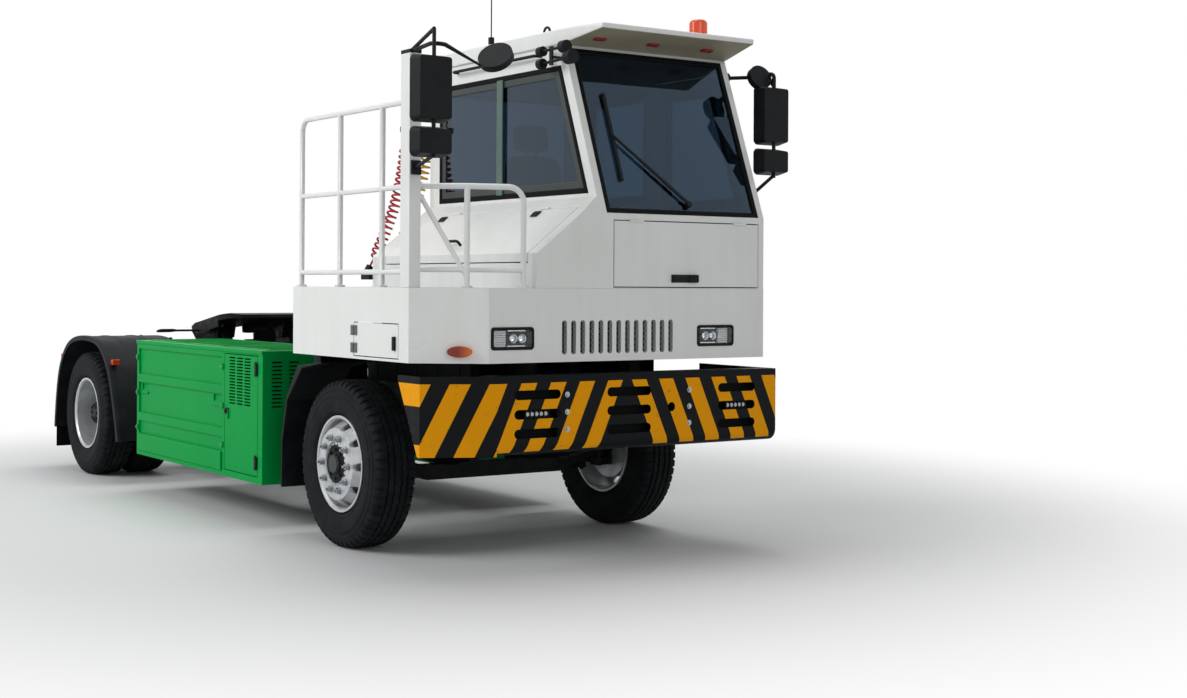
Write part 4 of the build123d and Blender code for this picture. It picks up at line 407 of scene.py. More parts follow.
def routeLine(points):
    # the smooth line of a route, read from its own spline
    line = newLine("route", points, 1.0, 24)
    holder = bpy.data.objects.new("route", line)
    scene.collection.objects.link(holder)
    bpy.context.view_layer.update()
    mesh = bpy.data.meshes.new_from_object(holder)
    spots = [v.co.copy() for v in mesh.vertices]
    bpy.data.objects.remove(holder)
    bpy.data.curves.remove(line)
    bpy.data.meshes.remove(mesh)
    return spots


# camera: where the photograph was taken from, in the frame of the part
viewpoint = {"eye": (10.826, -5.822, 1.644), "yaw": 0.5693, "pitch": 0.0020, "roll": 0.0059,
             "focal": 1610.15, "centre": (476.05, 280.81), "image": (1187, 698)}


def placeCamera(look):
    yaw, pitch = look["yaw"], look["pitch"]
    ahead = Vector((-cos(yaw) * cos(pitch), sin(yaw) * cos(pitch), sin(pitch)))
    right = ahead.cross(Vector((0, 0, 1))).normalized()
    up = right.cross(ahead)
    c, s = cos(look["roll"]), sin(look["roll"])
    right, up = right * c + up * s, up * c - right * s
    lens = bpy.data.cameras.new("photoCamera")
    wide, high = look["image"]
    lens.sensor_width = 36
    lens.lens = 36 * look["focal"] / wide
    lens.shift_x = (wide / 2 - look["centre"][0]) / wide
    lens.shift_y = (look["centre"][1] - high / 2) / wide
    made = bpy.data.objects.new("photoCamera", lens)
    turn = Matrix((right, up, -ahead)).transposed().to_4x4()
    made.matrix_world = Matrix.Translation(look["eye"]) @ turn
    scene.collection.objects.link(made)
    scene.camera = made


placeCamera(viewpoint)


# stage: a pale floor that fades to white away from the vehicle, three softboxes and sky fill
stageLook = {"floor": "#D2D3D4", "radius": 60.0, "fade": (3.2, 7.2), "skyFill": 0.27}
softboxes = [
    # name, place, aim, size, watts
    ("sideBox", (-2.0, -13.0, 9.0), (0.5, 0.0, 1.2), 9.0, 1350),
    ("frontBox", (14.0, -2.0, 7.0), (1.5, 0.0, 1.4), 7.0, 270),
    ("topBox", (-1.0, 2.0, 13.0), (-0.5, 0.0, 1.0), 10.0, 720),
]


def seenRays(tree):
    # 1 for what the picture shows, straight, mirrored or through glass
    rays = addNode(tree, "LightPath").outputs
    seen = maths(tree, "MAXIMUM", rays["Is Camera Ray"], rays["Is Glossy Ray"])
    return maths(tree, "MAXIMUM", seen, rays["Is Transmission Ray"])


def setStage(look):
    form = bmesh.new()
    bmesh.ops.create_circle(form, cap_ends=True, segments=96, radius=look["radius"])
    mesh = bpy.data.meshes.new("floor")
    form.to_mesh(mesh)
    form.free()
    floor = bpy.data.objects.new("floor", mesh)
    scene.collection.objects.link(floor)
    made, tree, shader, place = newMaterial(
        "studioFloor", {"Base Color": linear(look["floor"]), "Roughness": 0.7})
    away = addNode(tree, "VectorMath", {0: place}, operation="LENGTH").outputs["Value"]
    near, far = look["fade"]
    faded = addNode(tree, "MapRange", {0: away, 1: near, 2: far}, interpolation_type="SMOOTHSTEP").outputs[0]
    faded = maths(tree, "MULTIPLY", faded, seenRays(tree))
    white = addNode(tree, "Emission", {"Color": (1, 1, 1, 1), "Strength": 1.0}).outputs[0]
    mixed = addNode(tree, "MixShader", {0: faded, 1: shader.outputs[0], 2: white}).outputs[0]
    tree.links.new(mixed, tree.nodes["Material Output"].inputs["Surface"])
    mesh.materials.append(made)
    world = bpy.data.worlds.new("studio")
    scene.world = world
    world.use_nodes = True
    tree = world.node_tree
    tree.nodes.clear()
    level = band(tree, seenRays(tree), 0.0, 1.0, look["skyFill"], 1.0)
    sky = addNode(tree, "Background", {"Color": (1, 1, 1, 1), "Strength": level}).outputs[0]
    addNode(tree, "OutputWorld", {"Surface": sky})
    for name, place, aim, size, watts in softboxes:
        lamp = bpy.data.lights.new(name, "AREA")
        lamp.shape = "DISK"
        lamp.size = size
        lamp.energy = watts
        made = bpy.data.objects.new(name, lamp)
        turn = (Vector(aim) - Vector(place)).to_track_quat("-Z", "Y")
        made.matrix_world = Matrix.Translation(place) @ turn.to_matrix().to_4x4()
        scene.collection.objects.link(made)


setStage(stageLook)
scene.view_settings.view_transform = "Standard"
print("camera and stage set")


# air hoses: nylon coils between the upper and lower couplings behind the cab
hoseLook = {"x": 1.200, "tube": 0.0075, "coil": 0.034, "turnPitch": 0.040, "points": 16, "lead": 0.05,
            "chordShare": 0.985}
hoses = [
    # name, finish, route across and up, as in the part's source
    ("red_hose", "redHose", ((-0.240, 2.660), (-0.262, 2.420), (-0.375, 2.020), (-0.520, 1.762))),
    ("yellow_hose", "yellowHose", ((-0.060, 2.660), (-0.085, 2.430), (-0.200, 2.080), (-0.350, 1.762))),
]


def coilPoints(line, look):
    # a helix of the given pitch round the line, with a straight lead at each end
    runs = [(b - a).length for a, b in zip(line, line[1:])]
    total = sum(runs)
    lead = look["lead"]
    turns = round((total - 2 * lead) / look["turnPitch"])
    count = turns * look["points"]
    side = Vector((1, 0, 0))
    found = [line[0], line[0] + (line[1] - line[0]).normalized() * lead * 0.5]
    for step in range(count + 1):
        reach = lead + (total - 2 * lead) * step / count
        place, leg = reach, 0
        while leg < len(runs) - 1 and place > runs[leg]:
            place -= runs[leg]
            leg += 1
        ahead = (line[leg + 1] - line[leg]).normalized()
        spot = line[leg] + ahead * place
        cross = ahead.cross(side).normalized()
        grow = min(1.0, step / look["points"], (count - step) / look["points"])
        angle = 2 * pi * step / look["points"]
        found.append(spot + (side * cos(angle) + cross * sin(angle)) * look["coil"] * grow)
    found += [line[-1] - (line[-1] - line[-2]).normalized() * lead * 0.5, line[-1]]
    return found


def makeHoses(look):
    for name, tone, route in hoses:
        line = routeLine([(look["x"], y, z) for y, z in route])
        points = coilPoints(line, look)
        made = curvePiece(name + "_coil", points, look["tube"], finish[tone], "chassis")
        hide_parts(name)


makeHoses(hoseLook)


# every other node: a merged copy with its edges broken, in the finish of its slot
slotFinish = {
    "white_paint": "whiteEnamel", "green_paint": "greenEnamel", "stripe_paint": "hazardBars",
    "black_paint": "chassisBlack", "grey_paint": "greyPaint", "bare_steel": "zincSteel",
    "motor_alloy": "motorAlloy", "wheel_silver": "wheelSilver", "black_plastic": "blackAbs",
    "tinted_glass": "tintedGlass", "mirror_silver": "mirrorSilver", "lamp_clear": "clearLens",
    "lamp_amber": "amberLens",
}
plainEdge = 0.004
edgeRadius = {"ladder_frame": 0.003, "cab_roof": 0.012, "dashboard": 0.015, "front_bumper": 0.002,
              "wiper": 0.001, "windscreen": 0.001, "cab_glass": 0.001, "door_glass": 0.001,
              "mirror_glass": 0.001, "mirrors_right": 0.008, "mirrors_left": 0.008, "signal_lamps": 0.010,
              "fifth_wheel_plate": 0.006, "work_lamps": 0.005, "beacon": 0.006}
rebuilt = ("red_hose", "yellow_hose", "tyre_front_left", "tyre_front_right", "tyres_rear_left",
           "tyres_rear_right", "head_lamps", "driver_seat", "rear_fenders")


def roundedCopy(node, width):
    form = mergedCopy(node)
    sharp = [e for e in form.edges if len(e.link_faces) == 2 and e.calc_face_angle() > radians(28)
             and e.calc_length() > 2.2 * width]
    if sharp:
        breakEdges(form, sharp, width)
    return form


def repaint(piece, material, chosen):
    # gives another finish to the faces that the rule picks by centre and normal
    piece.data.materials.append(material)
    spot = len(piece.data.materials) - 1
    for face in piece.data.polygons:
        if chosen(face.center, face.normal):
            face.material_index = spot


dressed = {}
for node in sorted(nodes):
    if node in rebuilt:
        continue
    form = roundedCopy(node, edgeRadius.get(node, plainEdge))
    slot = slotOf[node]
    made = newPiece(node + "_shell", form, slotFinish[slot], bodyOf[node], recalc=False)
    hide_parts(node)
    dressed[node] = made
hatchSlope = {"rise": 0.7667, "y": -0.10, "z": 2.170}
leverLook = {"x": 3.2385, "top": 1.75, "z": 1.684, "slim": 0.6}


def hatchHeight(y):
    return hatchSlope["z"] + (y - hatchSlope["y"]) * hatchSlope["rise"]


repaints = [
    # node, finish, rule by a face's centre and normal: visor's underside, boxes' undersides (black, painted
    # shade), rear lamps, top of the coupling plate, front hatch lever, side hatch grip, flap hinges, flap
    # latch, box hinges
    ("cab_roof", "khakiLining", lambda c, n: n.z < -0.5 and c.x > 2.86),
    # painted shade: the boxes' undersides are black, so that no green light bounces onto the floor under the
    # vehicle
    ("battery_boxes", "chassisBlack", lambda c, n: n.z < -0.7 and c.z < 0.36),
    ("signal_lamps", "redLens", lambda c, n: c.x < -3),
    ("fifth_wheel_plate", "greasedSteel", lambda c, n: n.z > 0.9),
    ("front_hatch", "blackAbs", lambda c, n: c.x > leverLook["x"] and c.z < leverLook["top"]),
    ("side_hatch", "blackAbs", lambda c, n: abs(c.x - 2.227) < 0.08 and c.z - hatchHeight(c.y) > 0.006),
    ("skirt_flap", "greyPaint", lambda c, n: c.y < -1.2505 and c.x < 2.36),
    ("skirt_flap", "blackAbs", lambda c, n: c.y < -1.2505 and c.x > 2.78),
    ("battery_door_left", "blackAbs", lambda c, n: abs(c.y) > 1.2215 and c.x > 0.89),
    ("battery_door_right", "blackAbs", lambda c, n: abs(c.y) > 1.2215 and c.x > 0.89),
    # walls of the bumper's slots, its back, top, underside and inner faces, backs of the louvres in the
    # boxes' fronts (black, painted shade)
    ("front_bumper", "gasketRubber",
     lambda c, n: abs(n.x) < 0.6 and 0.70 < c.z < 1.10 and abs(c.y) < 1.15 and c.x > 3.20),
    ("front_bumper", "chassisBlack",
     lambda c, n: n.x < -0.3 or abs(n.z) > 0.7 or c.x < 2.98 or (abs(n.x) < 0.3 and n.y * c.y < 0)),
    # painted shade: the backs of the louvre slots are black, as the shade inside them
    ("battery_boxes", "gasketRubber", lambda c, n: abs(n.x) > 0.9 and 0.95 < c.x < 0.990),
]
for node, tone, rule in repaints:
    repaint(dressed[node], finish[tone], rule)
dressed["beacon"].data.materials[0] = finish["beaconLens"]

# the plate's pivot bores open by a hair, so that their flats pass those of the pins
pivotLook = {"x": -1.760, "z": 1.216, "near": 0.0306, "radius": 0.0303}
for v in dressed["fifth_wheel_plate"].data.vertices:
    reach = Vector((v.co.x - pivotLook["x"], v.co.z - pivotLook["z"]))
    if reach.length < pivotLook["near"]:
        reach *= pivotLook["radius"] / reach.length
        v.co.x, v.co.z = pivotLook["x"] + reach.x, pivotLook["z"] + reach.y


def turnDisc(piece, centre, facing, wanted, reach, depth):
    # turns the round mirror of a shell about its own middle, to the tilt that the photograph shows
    centre, facing = Vector(centre), Vector(facing).normalized()
    turn = facing.rotation_difference(Vector(wanted))
    for vert in piece.data.vertices:
        away = vert.co - centre
        along = away.dot(facing)
        if abs(along) < depth and (away - facing * along).length < reach:
            vert.co = centre + turn @ away


for vert in dressed["front_hatch"].data.vertices:
    if vert.co.x > leverLook["x"] and vert.co.z < leverLook["top"]:
        # the lever's bar is slimmer than its ends
        vert.co.z = leverLook["z"] + (vert.co.z - leverLook["z"]) * leverLook["slim"]
roundMirrors = [
    # node, middle, facing in the solid, facing in the photograph, reach
    ("mirrors_right", (3.312, -0.890, 2.910), (0.45, 0.1, 0.89), (0.45, -0.62, 0.64), 0.101),
    ("mirrors_left", (3.145, 1.230, 2.969), (0.45, -0.1, 0.89), (0.92, -0.10, 0.38), 0.081),
]
mirrorDepth = 0.0215
for node, middle, facing, wanted, reach in roundMirrors:
    turnDisc(dressed[node], middle, facing, wanted, reach, mirrorDepth)
print("shells:", len(dressed))


# tyres: five ribs with kinked grooves, notched shoulders, two raised rings on the sidewall
tyreLook = {
    "pitches": 56, "stations": ((0.0, 0), (0.62, 0), (0.68, 1), (0.94, 1)), "kink": 0.0025, "ribbed": 0.074,
    "notch": 0.012, "shoulder": 0.12, "notchLean": 0.35,
    # half profile from the middle outwards: across, radius, share of the notch cut
    "half": ((0.017, 0.5220, 0), (0.019, 0.5090, 0), (0.029, 0.5090, 0), (0.031, 0.5217, 0),
             (0.058, 0.5212, 0), (0.060, 0.5080, 0), (0.071, 0.5080, 0), (0.073, 0.5208, 0.25),
             (0.095, 0.5190, 1.0), (0.112, 0.5155, 1.0), (0.124, 0.5080, 1.0), (0.131, 0.4970, 0.7),
             (0.136, 0.4830, 0.3),
             (0.1400, 0.4640, 0), (0.1440, 0.4610, 0), (0.1445, 0.4540, 0), (0.1425, 0.4510, 0),
             (0.1455, 0.4300, 0), (0.1485, 0.4270, 0), (0.1490, 0.4200, 0), (0.1465, 0.4170, 0),
             (0.1470, 0.3980, 0), (0.1440, 0.3650, 0), (0.1370, 0.3380, 0), (0.1390, 0.3340, 0),
             (0.1370, 0.3300, 0), (0.1290, 0.3180, 0), (0.1180, 0.3080, 0), (0.1060, 0.3030, 0),
             (0.1040, 0.2903, 0)),
}


def addTyre(form, axleX, middleY, side, look):
    half = look["half"]
    section = [(-a, r, cut) for a, r, cut in reversed(half)] + list(half)
    stations = [(2 * pi * (pitch + share) / look["pitches"], low)
                for pitch in range(look["pitches"]) for share, low in look["stations"]]
    loops = []
    for a, r, cut in section:
        loop = []
        for angle, low in stations:
            across, drop = a, look["notch"] * cut * low
            if abs(a) < look["ribbed"]:
                across += look["kink"] * (1 if low else -1)
            if abs(a) > look["shoulder"]:
                across -= drop * look["notchLean"] * (1 if a > 0 else -1)
            loop.append(around(axleX, r - drop, angle, middleY + side * across))
        loops.append(loop)
    addLoops(form, loops)


tyrePlan = [
    # node, body, axle x, side, distances of the tyre middles from the centre line
    ("tyre_front_left", "wheel_front_left", frontAxle, 1, (1.012,)),
    ("tyre_front_right", "wheel_front_right", frontAxle, -1, (1.012,)),
    ("tyres_rear_left", "wheels_rear_left", rearAxle, 1, (0.732, 1.068)),
    ("tyres_rear_right", "wheels_rear_right", rearAxle, -1, (0.732, 1.068)),
]
for node, body, axleX, side, middles in tyrePlan:
    form = bmesh.new()
    for middle in middles:
        addTyre(form, axleX, side * middle, side, tyreLook)
    made = newPiece(node + "_tread", form, "tyreRubber", body, smooth=30)
    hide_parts(node)
print("tyres made")


# wheels: nuts with washers and stud ends, hub bolts, hub and middle of the dish black as painted shade
wheelLook = {"nuts": 10, "nutCircle": 0.1675, "nutAcross": 0.033, "nutHigh": 0.024, "stud": 0.016,
             "washer": (0.0235, 0.004), "hubBolts": 8, "hubAcross": 0.017, "hubHigh": 0.010}
wheelPlan = [
    # label, body, rim node, axle x, side, nut face, hub bolt circle and face,
    # black inside this radius as painted shade, cap radius
    ("frontLeft", "wheel_front_left", "rim_front_left", frontAxle, 1, 1.162, 0.090, 1.162, 0.139, 0.060),
    ("frontRight", "wheel_front_right", "rim_front_right", frontAxle, -1, 1.162, 0.090, 1.162, 0.139, 0.060),
    ("rearLeft", "wheels_rear_left", "rims_rear_left", rearAxle, 1, 0.912, 0.120, 0.970, 0.151, 0.0),
    ("rearRight", "wheels_rear_right", "rims_rear_right", rearAxle, -1, 0.912, 0.120, 0.970, 0.151, 0.0),
]


def paintInside(piece, material, axleX, limit):
    # another finish for the faces that lie wholly within a radius of the axle
    piece.data.materials.append(material)
    spot = len(piece.data.materials) - 1
    for face in piece.data.polygons:
        corners = [piece.data.vertices[i].co for i in face.vertices]
        if max(hypot(p.x - axleX, p.z - tyreRadius) for p in corners) < limit:
            face.material_index = spot


for label, body, node, axleX, side, nutFace, boltCircle, boltFace, hubShadeRadius, capRadius in wheelPlan:
    form = bmesh.new()
    out = Vector((0, side, 0))
    for i in range(wheelLook["nuts"]):
        place = around(axleX, wheelLook["nutCircle"], 2 * pi * (i + 0.5) / wheelLook["nuts"], side * nutFace)
        wide, high = wheelLook["washer"]
        addRod(form, place, place + out * high, wide, 20, edge=0.001)
        addHexNut(form, place + out * high, out, wheelLook["nutAcross"], wheelLook["nutHigh"],
                  wheelLook["stud"])
    newPiece(label + "WheelNuts", form, "zincSteel", body)
    form = bmesh.new()
    for i in range(wheelLook["hubBolts"]):
        place = around(axleX, boltCircle, 2 * pi * i / wheelLook["hubBolts"], side * boltFace)
        addHexNut(form, place, out, wheelLook["hubAcross"], wheelLook["hubHigh"])
    newPiece(label + "HubBolts", form, "chassisBlack", body)
    # painted shade: the hub and the middle of the dish black, where shade falls deep in the wheel
    paintInside(dressed[node], finish["chassisBlack"], axleX, hubShadeRadius)
    if capRadius:
        paintInside(dressed[node], finish["trimGrey"], axleX, capRadius)
print("wheels dressed")


# head lamps: black bezel, dark bucket, textured side lens, two chrome projectors, clear cover
lampLook = {
    "faceX": 3.237, "z": 1.335, "half": (0.147, 0.065),
    # section of each ring: inset from the lamp's edge, distance out of its face
    "bezel": ((0, -0.030), (0, 0.005), (0.003, 0.008), (0.010, 0.008), (0.013, 0.005), (0.013, -0.030)),
    "bucket": ((0.012, 0.0), (0.0186, -0.044)),
    "cover": ((0.045, 0.0065), (0.018, 0.003), (0.013, -0.004), (0.010, -0.004), (0.010, 0.0),
              (0.016, 0.005), (0.045, 0.0085)),
    "bezelCorner": 0.022, "bezelTaper": 0.7, "bucketCorner": 0.014, "coverCorner": 0.016,
    "screwInset": 0.014, "screwX": 0.006, "screwHigh": 0.004,
    # spans across are counted inwards from the lamp's outer end
    "sideLens": (0.112, 0.034), "lensX": (-0.040, -0.016), "ribs": 7, "ribFoot": -0.046,
    "ribPitch": 0.0131, "ribHigh": 0.0115,
    "bars": (0.252, 0.128), "barX": (-0.034, -0.022), "barZ": (-0.047, 0.039), "barHigh": 0.008,
    "projectors": (0.160, 0.220),
    "reflector": ((-0.043, 0.0196), (-0.024, 0.0266), (-0.012, 0.0280), (-0.009, 0.0260),
                  (-0.012, 0.0220), (-0.026, 0.01736), (-0.036, 0.0112), (-0.038, 0.0)),
    "dome": ((-0.030, 0.0168), (-0.022, 0.01456), (-0.016, 0.0084), (-0.014, 0.0)),
}
lampPlan = [("right", -0.717, -1), ("left", 0.793, 1)]


def roundedLoop(middleY, middleZ, halfY, halfZ, corner, x, steps=5):
    spots = []
    for turn, (sy, sz) in enumerate(((1, 1), (-1, 1), (-1, -1), (1, -1))):
        for i in range(steps + 1):
            angle = pi / 2 * (turn + i / steps)
            spots.append(Vector((x, middleY + sy * (halfY - corner) + corner * cos(angle),
                                 middleZ + sz * (halfZ - corner) + corner * sin(angle))))
    return spots


def lampRings(y, plan, corner, look, taper=0.0):
    halfY, halfZ = look["half"]
    return [roundedLoop(y, look["z"], halfY - inset, halfZ - inset, corner - inset * taper,
                        look["faceX"] + out) for inset, out in plan]


def along(base, span):
    return [base + step for step in span]


def makeHeadLamp(label, y, side, look):
    x, z = look["faceX"], look["z"]
    halfY, halfZ = look["half"]
    outer = side * y + halfY
    form = bmesh.new()
    addLoops(form, lampRings(y, look["bezel"], look["bezelCorner"], look, look["bezelTaper"]), joined=True)
    addLoops(form, lampRings(y, look["bucket"], look["bucketCorner"], look), closeLast=True)
    for cornerY in (-1, 1):
        for cornerZ in (-1, 1):
            spot = (x + look["screwX"], y + cornerY * (halfY - look["screwInset"]),
                    z + cornerZ * (halfZ - look["screwInset"]))
            addScrew(form, spot, (look["screwHigh"], 0, 0))
    newPiece(label + "HeadLampBody", form, "blackAbs")
    form = bmesh.new()
    for i in range(look["ribs"]):
        low = z + look["ribFoot"] + i * look["ribPitch"]
        sideBox(form, side, along(x, look["lensX"]), [outer - step for step in look["sideLens"]],
                (low, low + look["ribHigh"]))
    newPiece(label + "SideLens", form, "ribbedLens")
    form, domes = bmesh.new(), bmesh.new()
    for inwards in look["projectors"]:
        middle = (x, side * (outer - inwards), z)
        addSpin(form, look["reflector"], middle, (1, 0, 0), 32)
        addSpin(domes, look["dome"], middle, (1, 0, 0), 28)
    for low in along(z, look["barZ"]):
        sideBox(form, side, along(x, look["barX"]), [outer - step for step in look["bars"]],
                (low, low + look["barHigh"]), 0.002)
    newPiece(label + "Projectors", form, "chromePlate")
    newPiece(label + "ProjectorDomes", domes, "clearLens")
    form = bmesh.new()
    addLoops(form, lampRings(y, look["cover"], look["coverCorner"], look), closeFirst=True, closeLast=True)
    return newPiece(label + "LampCover", form, "clearLens")


for label, y, side in lampPlan:
    glass = makeHeadLamp(label, y, side, lampLook)
    if side < 0:
        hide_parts("head_lamps")

# bumper work lamps: black case with five lens cells, set in the middle slots
cellLook = {"x": 3.284, "z": 0.905, "ys": (-0.575, 0.925), "length": 0.158, "cells": 5,
            "caseX": (-0.041, -0.010), "caseHalf": 0.0262, "wallX": 0.012, "wall": 0.003, "wallHalf": 0.025,
            "lens": ((-0.010, 0.0125), (-0.005, 0.0115), (-0.003, 0.006), (-0.002, 0.0))}
form, cells = bmesh.new(), bmesh.new()
x, z, count, length = cellLook["x"], cellLook["z"], cellLook["cells"], cellLook["length"]
half, wall, wallHalf = cellLook["caseHalf"], cellLook["wall"], cellLook["wallHalf"]
for middle in cellLook["ys"]:
    low = middle - length / 2
    sideBox(form, 1, along(x, cellLook["caseX"]), (low, low + length), (z - half, z + half), 0.004)
    for i in range(count + 1):
        y = low + length * i / count
        addBox(form, (x - cellLook["wallX"], y - wall, z - wallHalf), (x, y + wall, z + wallHalf), 0.001)
    for i in range(count):
        y = low + length * (i + 0.5) / count
        addSpin(cells, cellLook["lens"], (x, y, z), (1, 0, 0), 20)
newPiece("bumperLampCases", form, "blackAbs")
newPiece("bumperLampCells", cells, "ribbedLens")

# bumper: bolts with washers in two columns, dark finned liners behind the slots
bumperLook = {"boltY": (-0.368, 0.544), "boltZ": (1.010, 0.910, 0.810), "washerX": (3.287, 3.2905),
              "washerRadius": 0.017, "nutX": 3.290, "nutAcross": 0.019, "nutHigh": 0.009,
              "slots": ((-0.76, -0.37), (-0.10, 0.32), (0.75, 1.18)), "linerX": (3.222, 3.232),
              "linerZ": (0.74, 1.07), "fins": 5, "finX": (3.214, 3.223), "finZ": (0.75, 1.06), "fin": 0.006}
form = bmesh.new()
for y in bumperLook["boltY"]:
    for z in bumperLook["boltZ"]:
        near, far = bumperLook["washerX"]
        addRod(form, (near, y, z), (far, y, z), bumperLook["washerRadius"], 20, edge=0.001)
        addHexNut(form, (bumperLook["nutX"], y, z), (1, 0, 0), bumperLook["nutAcross"], bumperLook["nutHigh"])
newPiece("bumperBolts", form, "zincSteel")
form = bmesh.new()
for low, high in bumperLook["slots"]:
    sideBox(form, 1, bumperLook["linerX"], (low, high), bumperLook["linerZ"], 0.004)
    for i in range(bumperLook["fins"]):
        y = low + (high - low) * (i + 0.5) / bumperLook["fins"]
        sideBox(form, 1, bumperLook["finX"], (y - bumperLook["fin"], y + bumperLook["fin"]),
                bumperLook["finZ"], 0.002)
newPiece("slotLiners", form, "gasketRubber")

# grille: perforated sheet in the slots of the apron, a black backing with two posts behind it
grilleLook = {"x": 3.2325, "middleY": 0.042, "slots": 13, "slotPitch": 0.066, "reach": 0.023,
              "z": (1.238, 1.436), "holePitch": 0.0190, "holeRadius": 0.0084, "plate": 0.0015,
              "backX": (3.180, 3.186), "backY": (-0.44, 0.53), "backZ": (1.215, 1.460),
              "postX": (3.186, 3.205), "postY": (-0.42, 0.50), "postHalf": 0.012, "postZ": (1.222, 1.452)}
form = bmesh.new()
sideBox(form, 1, grilleLook["backX"], grilleLook["backY"], grilleLook["backZ"])
for y in grilleLook["postY"]:
    sideBox(form, 1, grilleLook["postX"], (y - grilleLook["postHalf"], y + grilleLook["postHalf"]),
            grilleLook["postZ"])
newPiece("grilleBacking", form, "blackAbs")


def addHexCell(form, y, z, look):
    # one six-sided cell of perforated sheet, pierced by its hole
    corner = look["holePitch"] / 3 ** 0.5
    outer = bmesh.ops.create_circle(form, cap_ends=True, segments=6, radius=corner)["verts"]
    turn = Matrix.Translation((look["x"], y, z)) @ Matrix.Rotation(pi / 2, 4, "Y")
    bmesh.ops.transform(form, matrix=turn, verts=outer)
    face = outer[0].link_faces[0]
    bmesh.ops.inset_individual(form, faces=[face], thickness=look["holePitch"] / 2 - look["holeRadius"])
    bmesh.ops.delete(form, geom=[face], context="FACES")


form = bmesh.new()
rowHigh = grilleLook["holePitch"] * 3 ** 0.5 / 2
foot, head = grilleLook["z"]
for slot in range(grilleLook["slots"]):
    slotY = grilleLook["middleY"] + (slot - grilleLook["slots"] // 2) * grilleLook["slotPitch"]
    for row in range(int((head - foot) / rowHigh) + 1):
        shift = grilleLook["holePitch"] * (0.5 if row % 2 else 0.0)
        for column in (-1, 0, 1):
            y = column * grilleLook["holePitch"] + shift
            if abs(y) < grilleLook["reach"]:
                addHexCell(form, slotY + y, foot + row * rowHigh, grilleLook)
bmesh.ops.remove_doubles(form, verts=form.verts, dist=2e-4)
bmesh.ops.recalc_face_normals(form, faces=form.faces)
bmesh.ops.solidify(form, geom=form.faces[:], thickness=grilleLook["plate"])
newPiece("grilleMesh", form, "greyPaint")
print("lamps, bumper and grille dressed")


# windows: rubber gasket round each pane, dark inner frames and a mullion on the right side
glazing = {"nodes": (("windscreen", "chassis"), ("cab_glass", "chassis"), ("door_glass", "driver_door")),
           "cabMiddle": (2.2, 0.545, 2.4), "leastArea": 0.08,
           # sections: distance out of the pane's edge, lift off its face
           "gasket": ((0.012, -0.004), (0.012, 0.008), (0.007, 0.013), (-0.016, 0.013), (-0.022, 0.008),
                      (-0.022, 0.001)),
           "inner": ((-0.018, 0.001), (-0.018, 0.006), (-0.022, 0.008), (-0.060, 0.008), (-0.064, 0.005),
                     (-0.064, 0.001)),
           "mullionX": (2.140, 2.206), "mullionY": (-0.114, -0.104), "mullionZ": (2.215, 2.955)}


def panes(node, look):
    # the outer face of each pane of a glass node, as a loop of corners
    form = mergedCopy(node)
    found = []
    for face in form.faces:
        outwards = face.calc_center_median() - Vector(look["cabMiddle"])
        if face.calc_area() > look["leastArea"] and face.normal.dot(outwards) > 0:
            found.append(([v.co.copy() for v in face.verts], face.normal.copy()))
    form.free()
    return found


def offsetLoop(points, normal, distance):
    # moves each side of a flat loop outwards by the distance
    ahead = [(b - a).normalized() for a, b in zip(points, points[1:] + points[:1])]
    sides = [step.cross(normal) for step in ahead]
    return [point + (sides[i - 1] + sides[i]) * (distance / (1 + sides[i - 1].dot(sides[i])))
            for i, point in enumerate(points)]


def addFrame(form, points, normal, section):
    loops = [[p + normal * lift for p in offsetLoop(points, normal, out)] for out, lift in section]
    addLoops(form, loops, joined=True)


for node, body in glazing["nodes"]:
    rubber, frames = bmesh.new(), bmesh.new()
    for points, normal in panes(node, glazing):
        addFrame(rubber, points, normal, glazing["gasket"])
        if abs(normal.y) > 0.9:
            addFrame(frames, points, normal, glazing["inner"])
    newPiece(node + "Gasket", rubber, "gasketRubber", body)
    if len(frames.verts):
        newPiece(node + "Frame", frames, "trimGrey", body)
    else:
        frames.free()
form = bmesh.new()
sideBox(form, 1, glazing["mullionX"], glazing["mullionY"], glazing["mullionZ"])
newPiece("sideMullion", form, "mullionGreen")
print("windows framed")


# battery boxes: lip, foot ridge, lugs, pulls, door hinges and latch, anti-slip plates on top
boxLook = {"rear": -1.317, "front": 0.997, "out": 1.220, "top": 1.186, "lipZ": 1.162,
           "panel": (-1.277, 0.335), "ridge": ((0.0, 0.462), (0.013, 0.452), (0.013, 0.330), (0.0, 0.318)),
           "lugX": (-1.297, 0.347), "lugZ": (1.055, 0.780, 0.505), "lugHalf": (0.014, 0.022),
           "pullX": (-1.167, 0.225), "pullHalf": 0.066, "pull": ((0.030, 0.822), (0.002, 0.779)),
           "hingeX": (0.874, 0.908), "hingeZ": (0.430, 1.060), "hingeHalf": 0.050, "hingeScrewX": 0.888,
           "latch": (0.425, 0.747), "latchHalf": (0.030, 0.024), "knobRadius": 0.012,
           "treads": ((-1.22, -0.56), (-0.48, 0.18), (0.26, 0.92)), "treadY": (0.52, 1.15),
           "ribY": (0.55, 1.12), "ribs": 11, "ribHalf": 0.004}


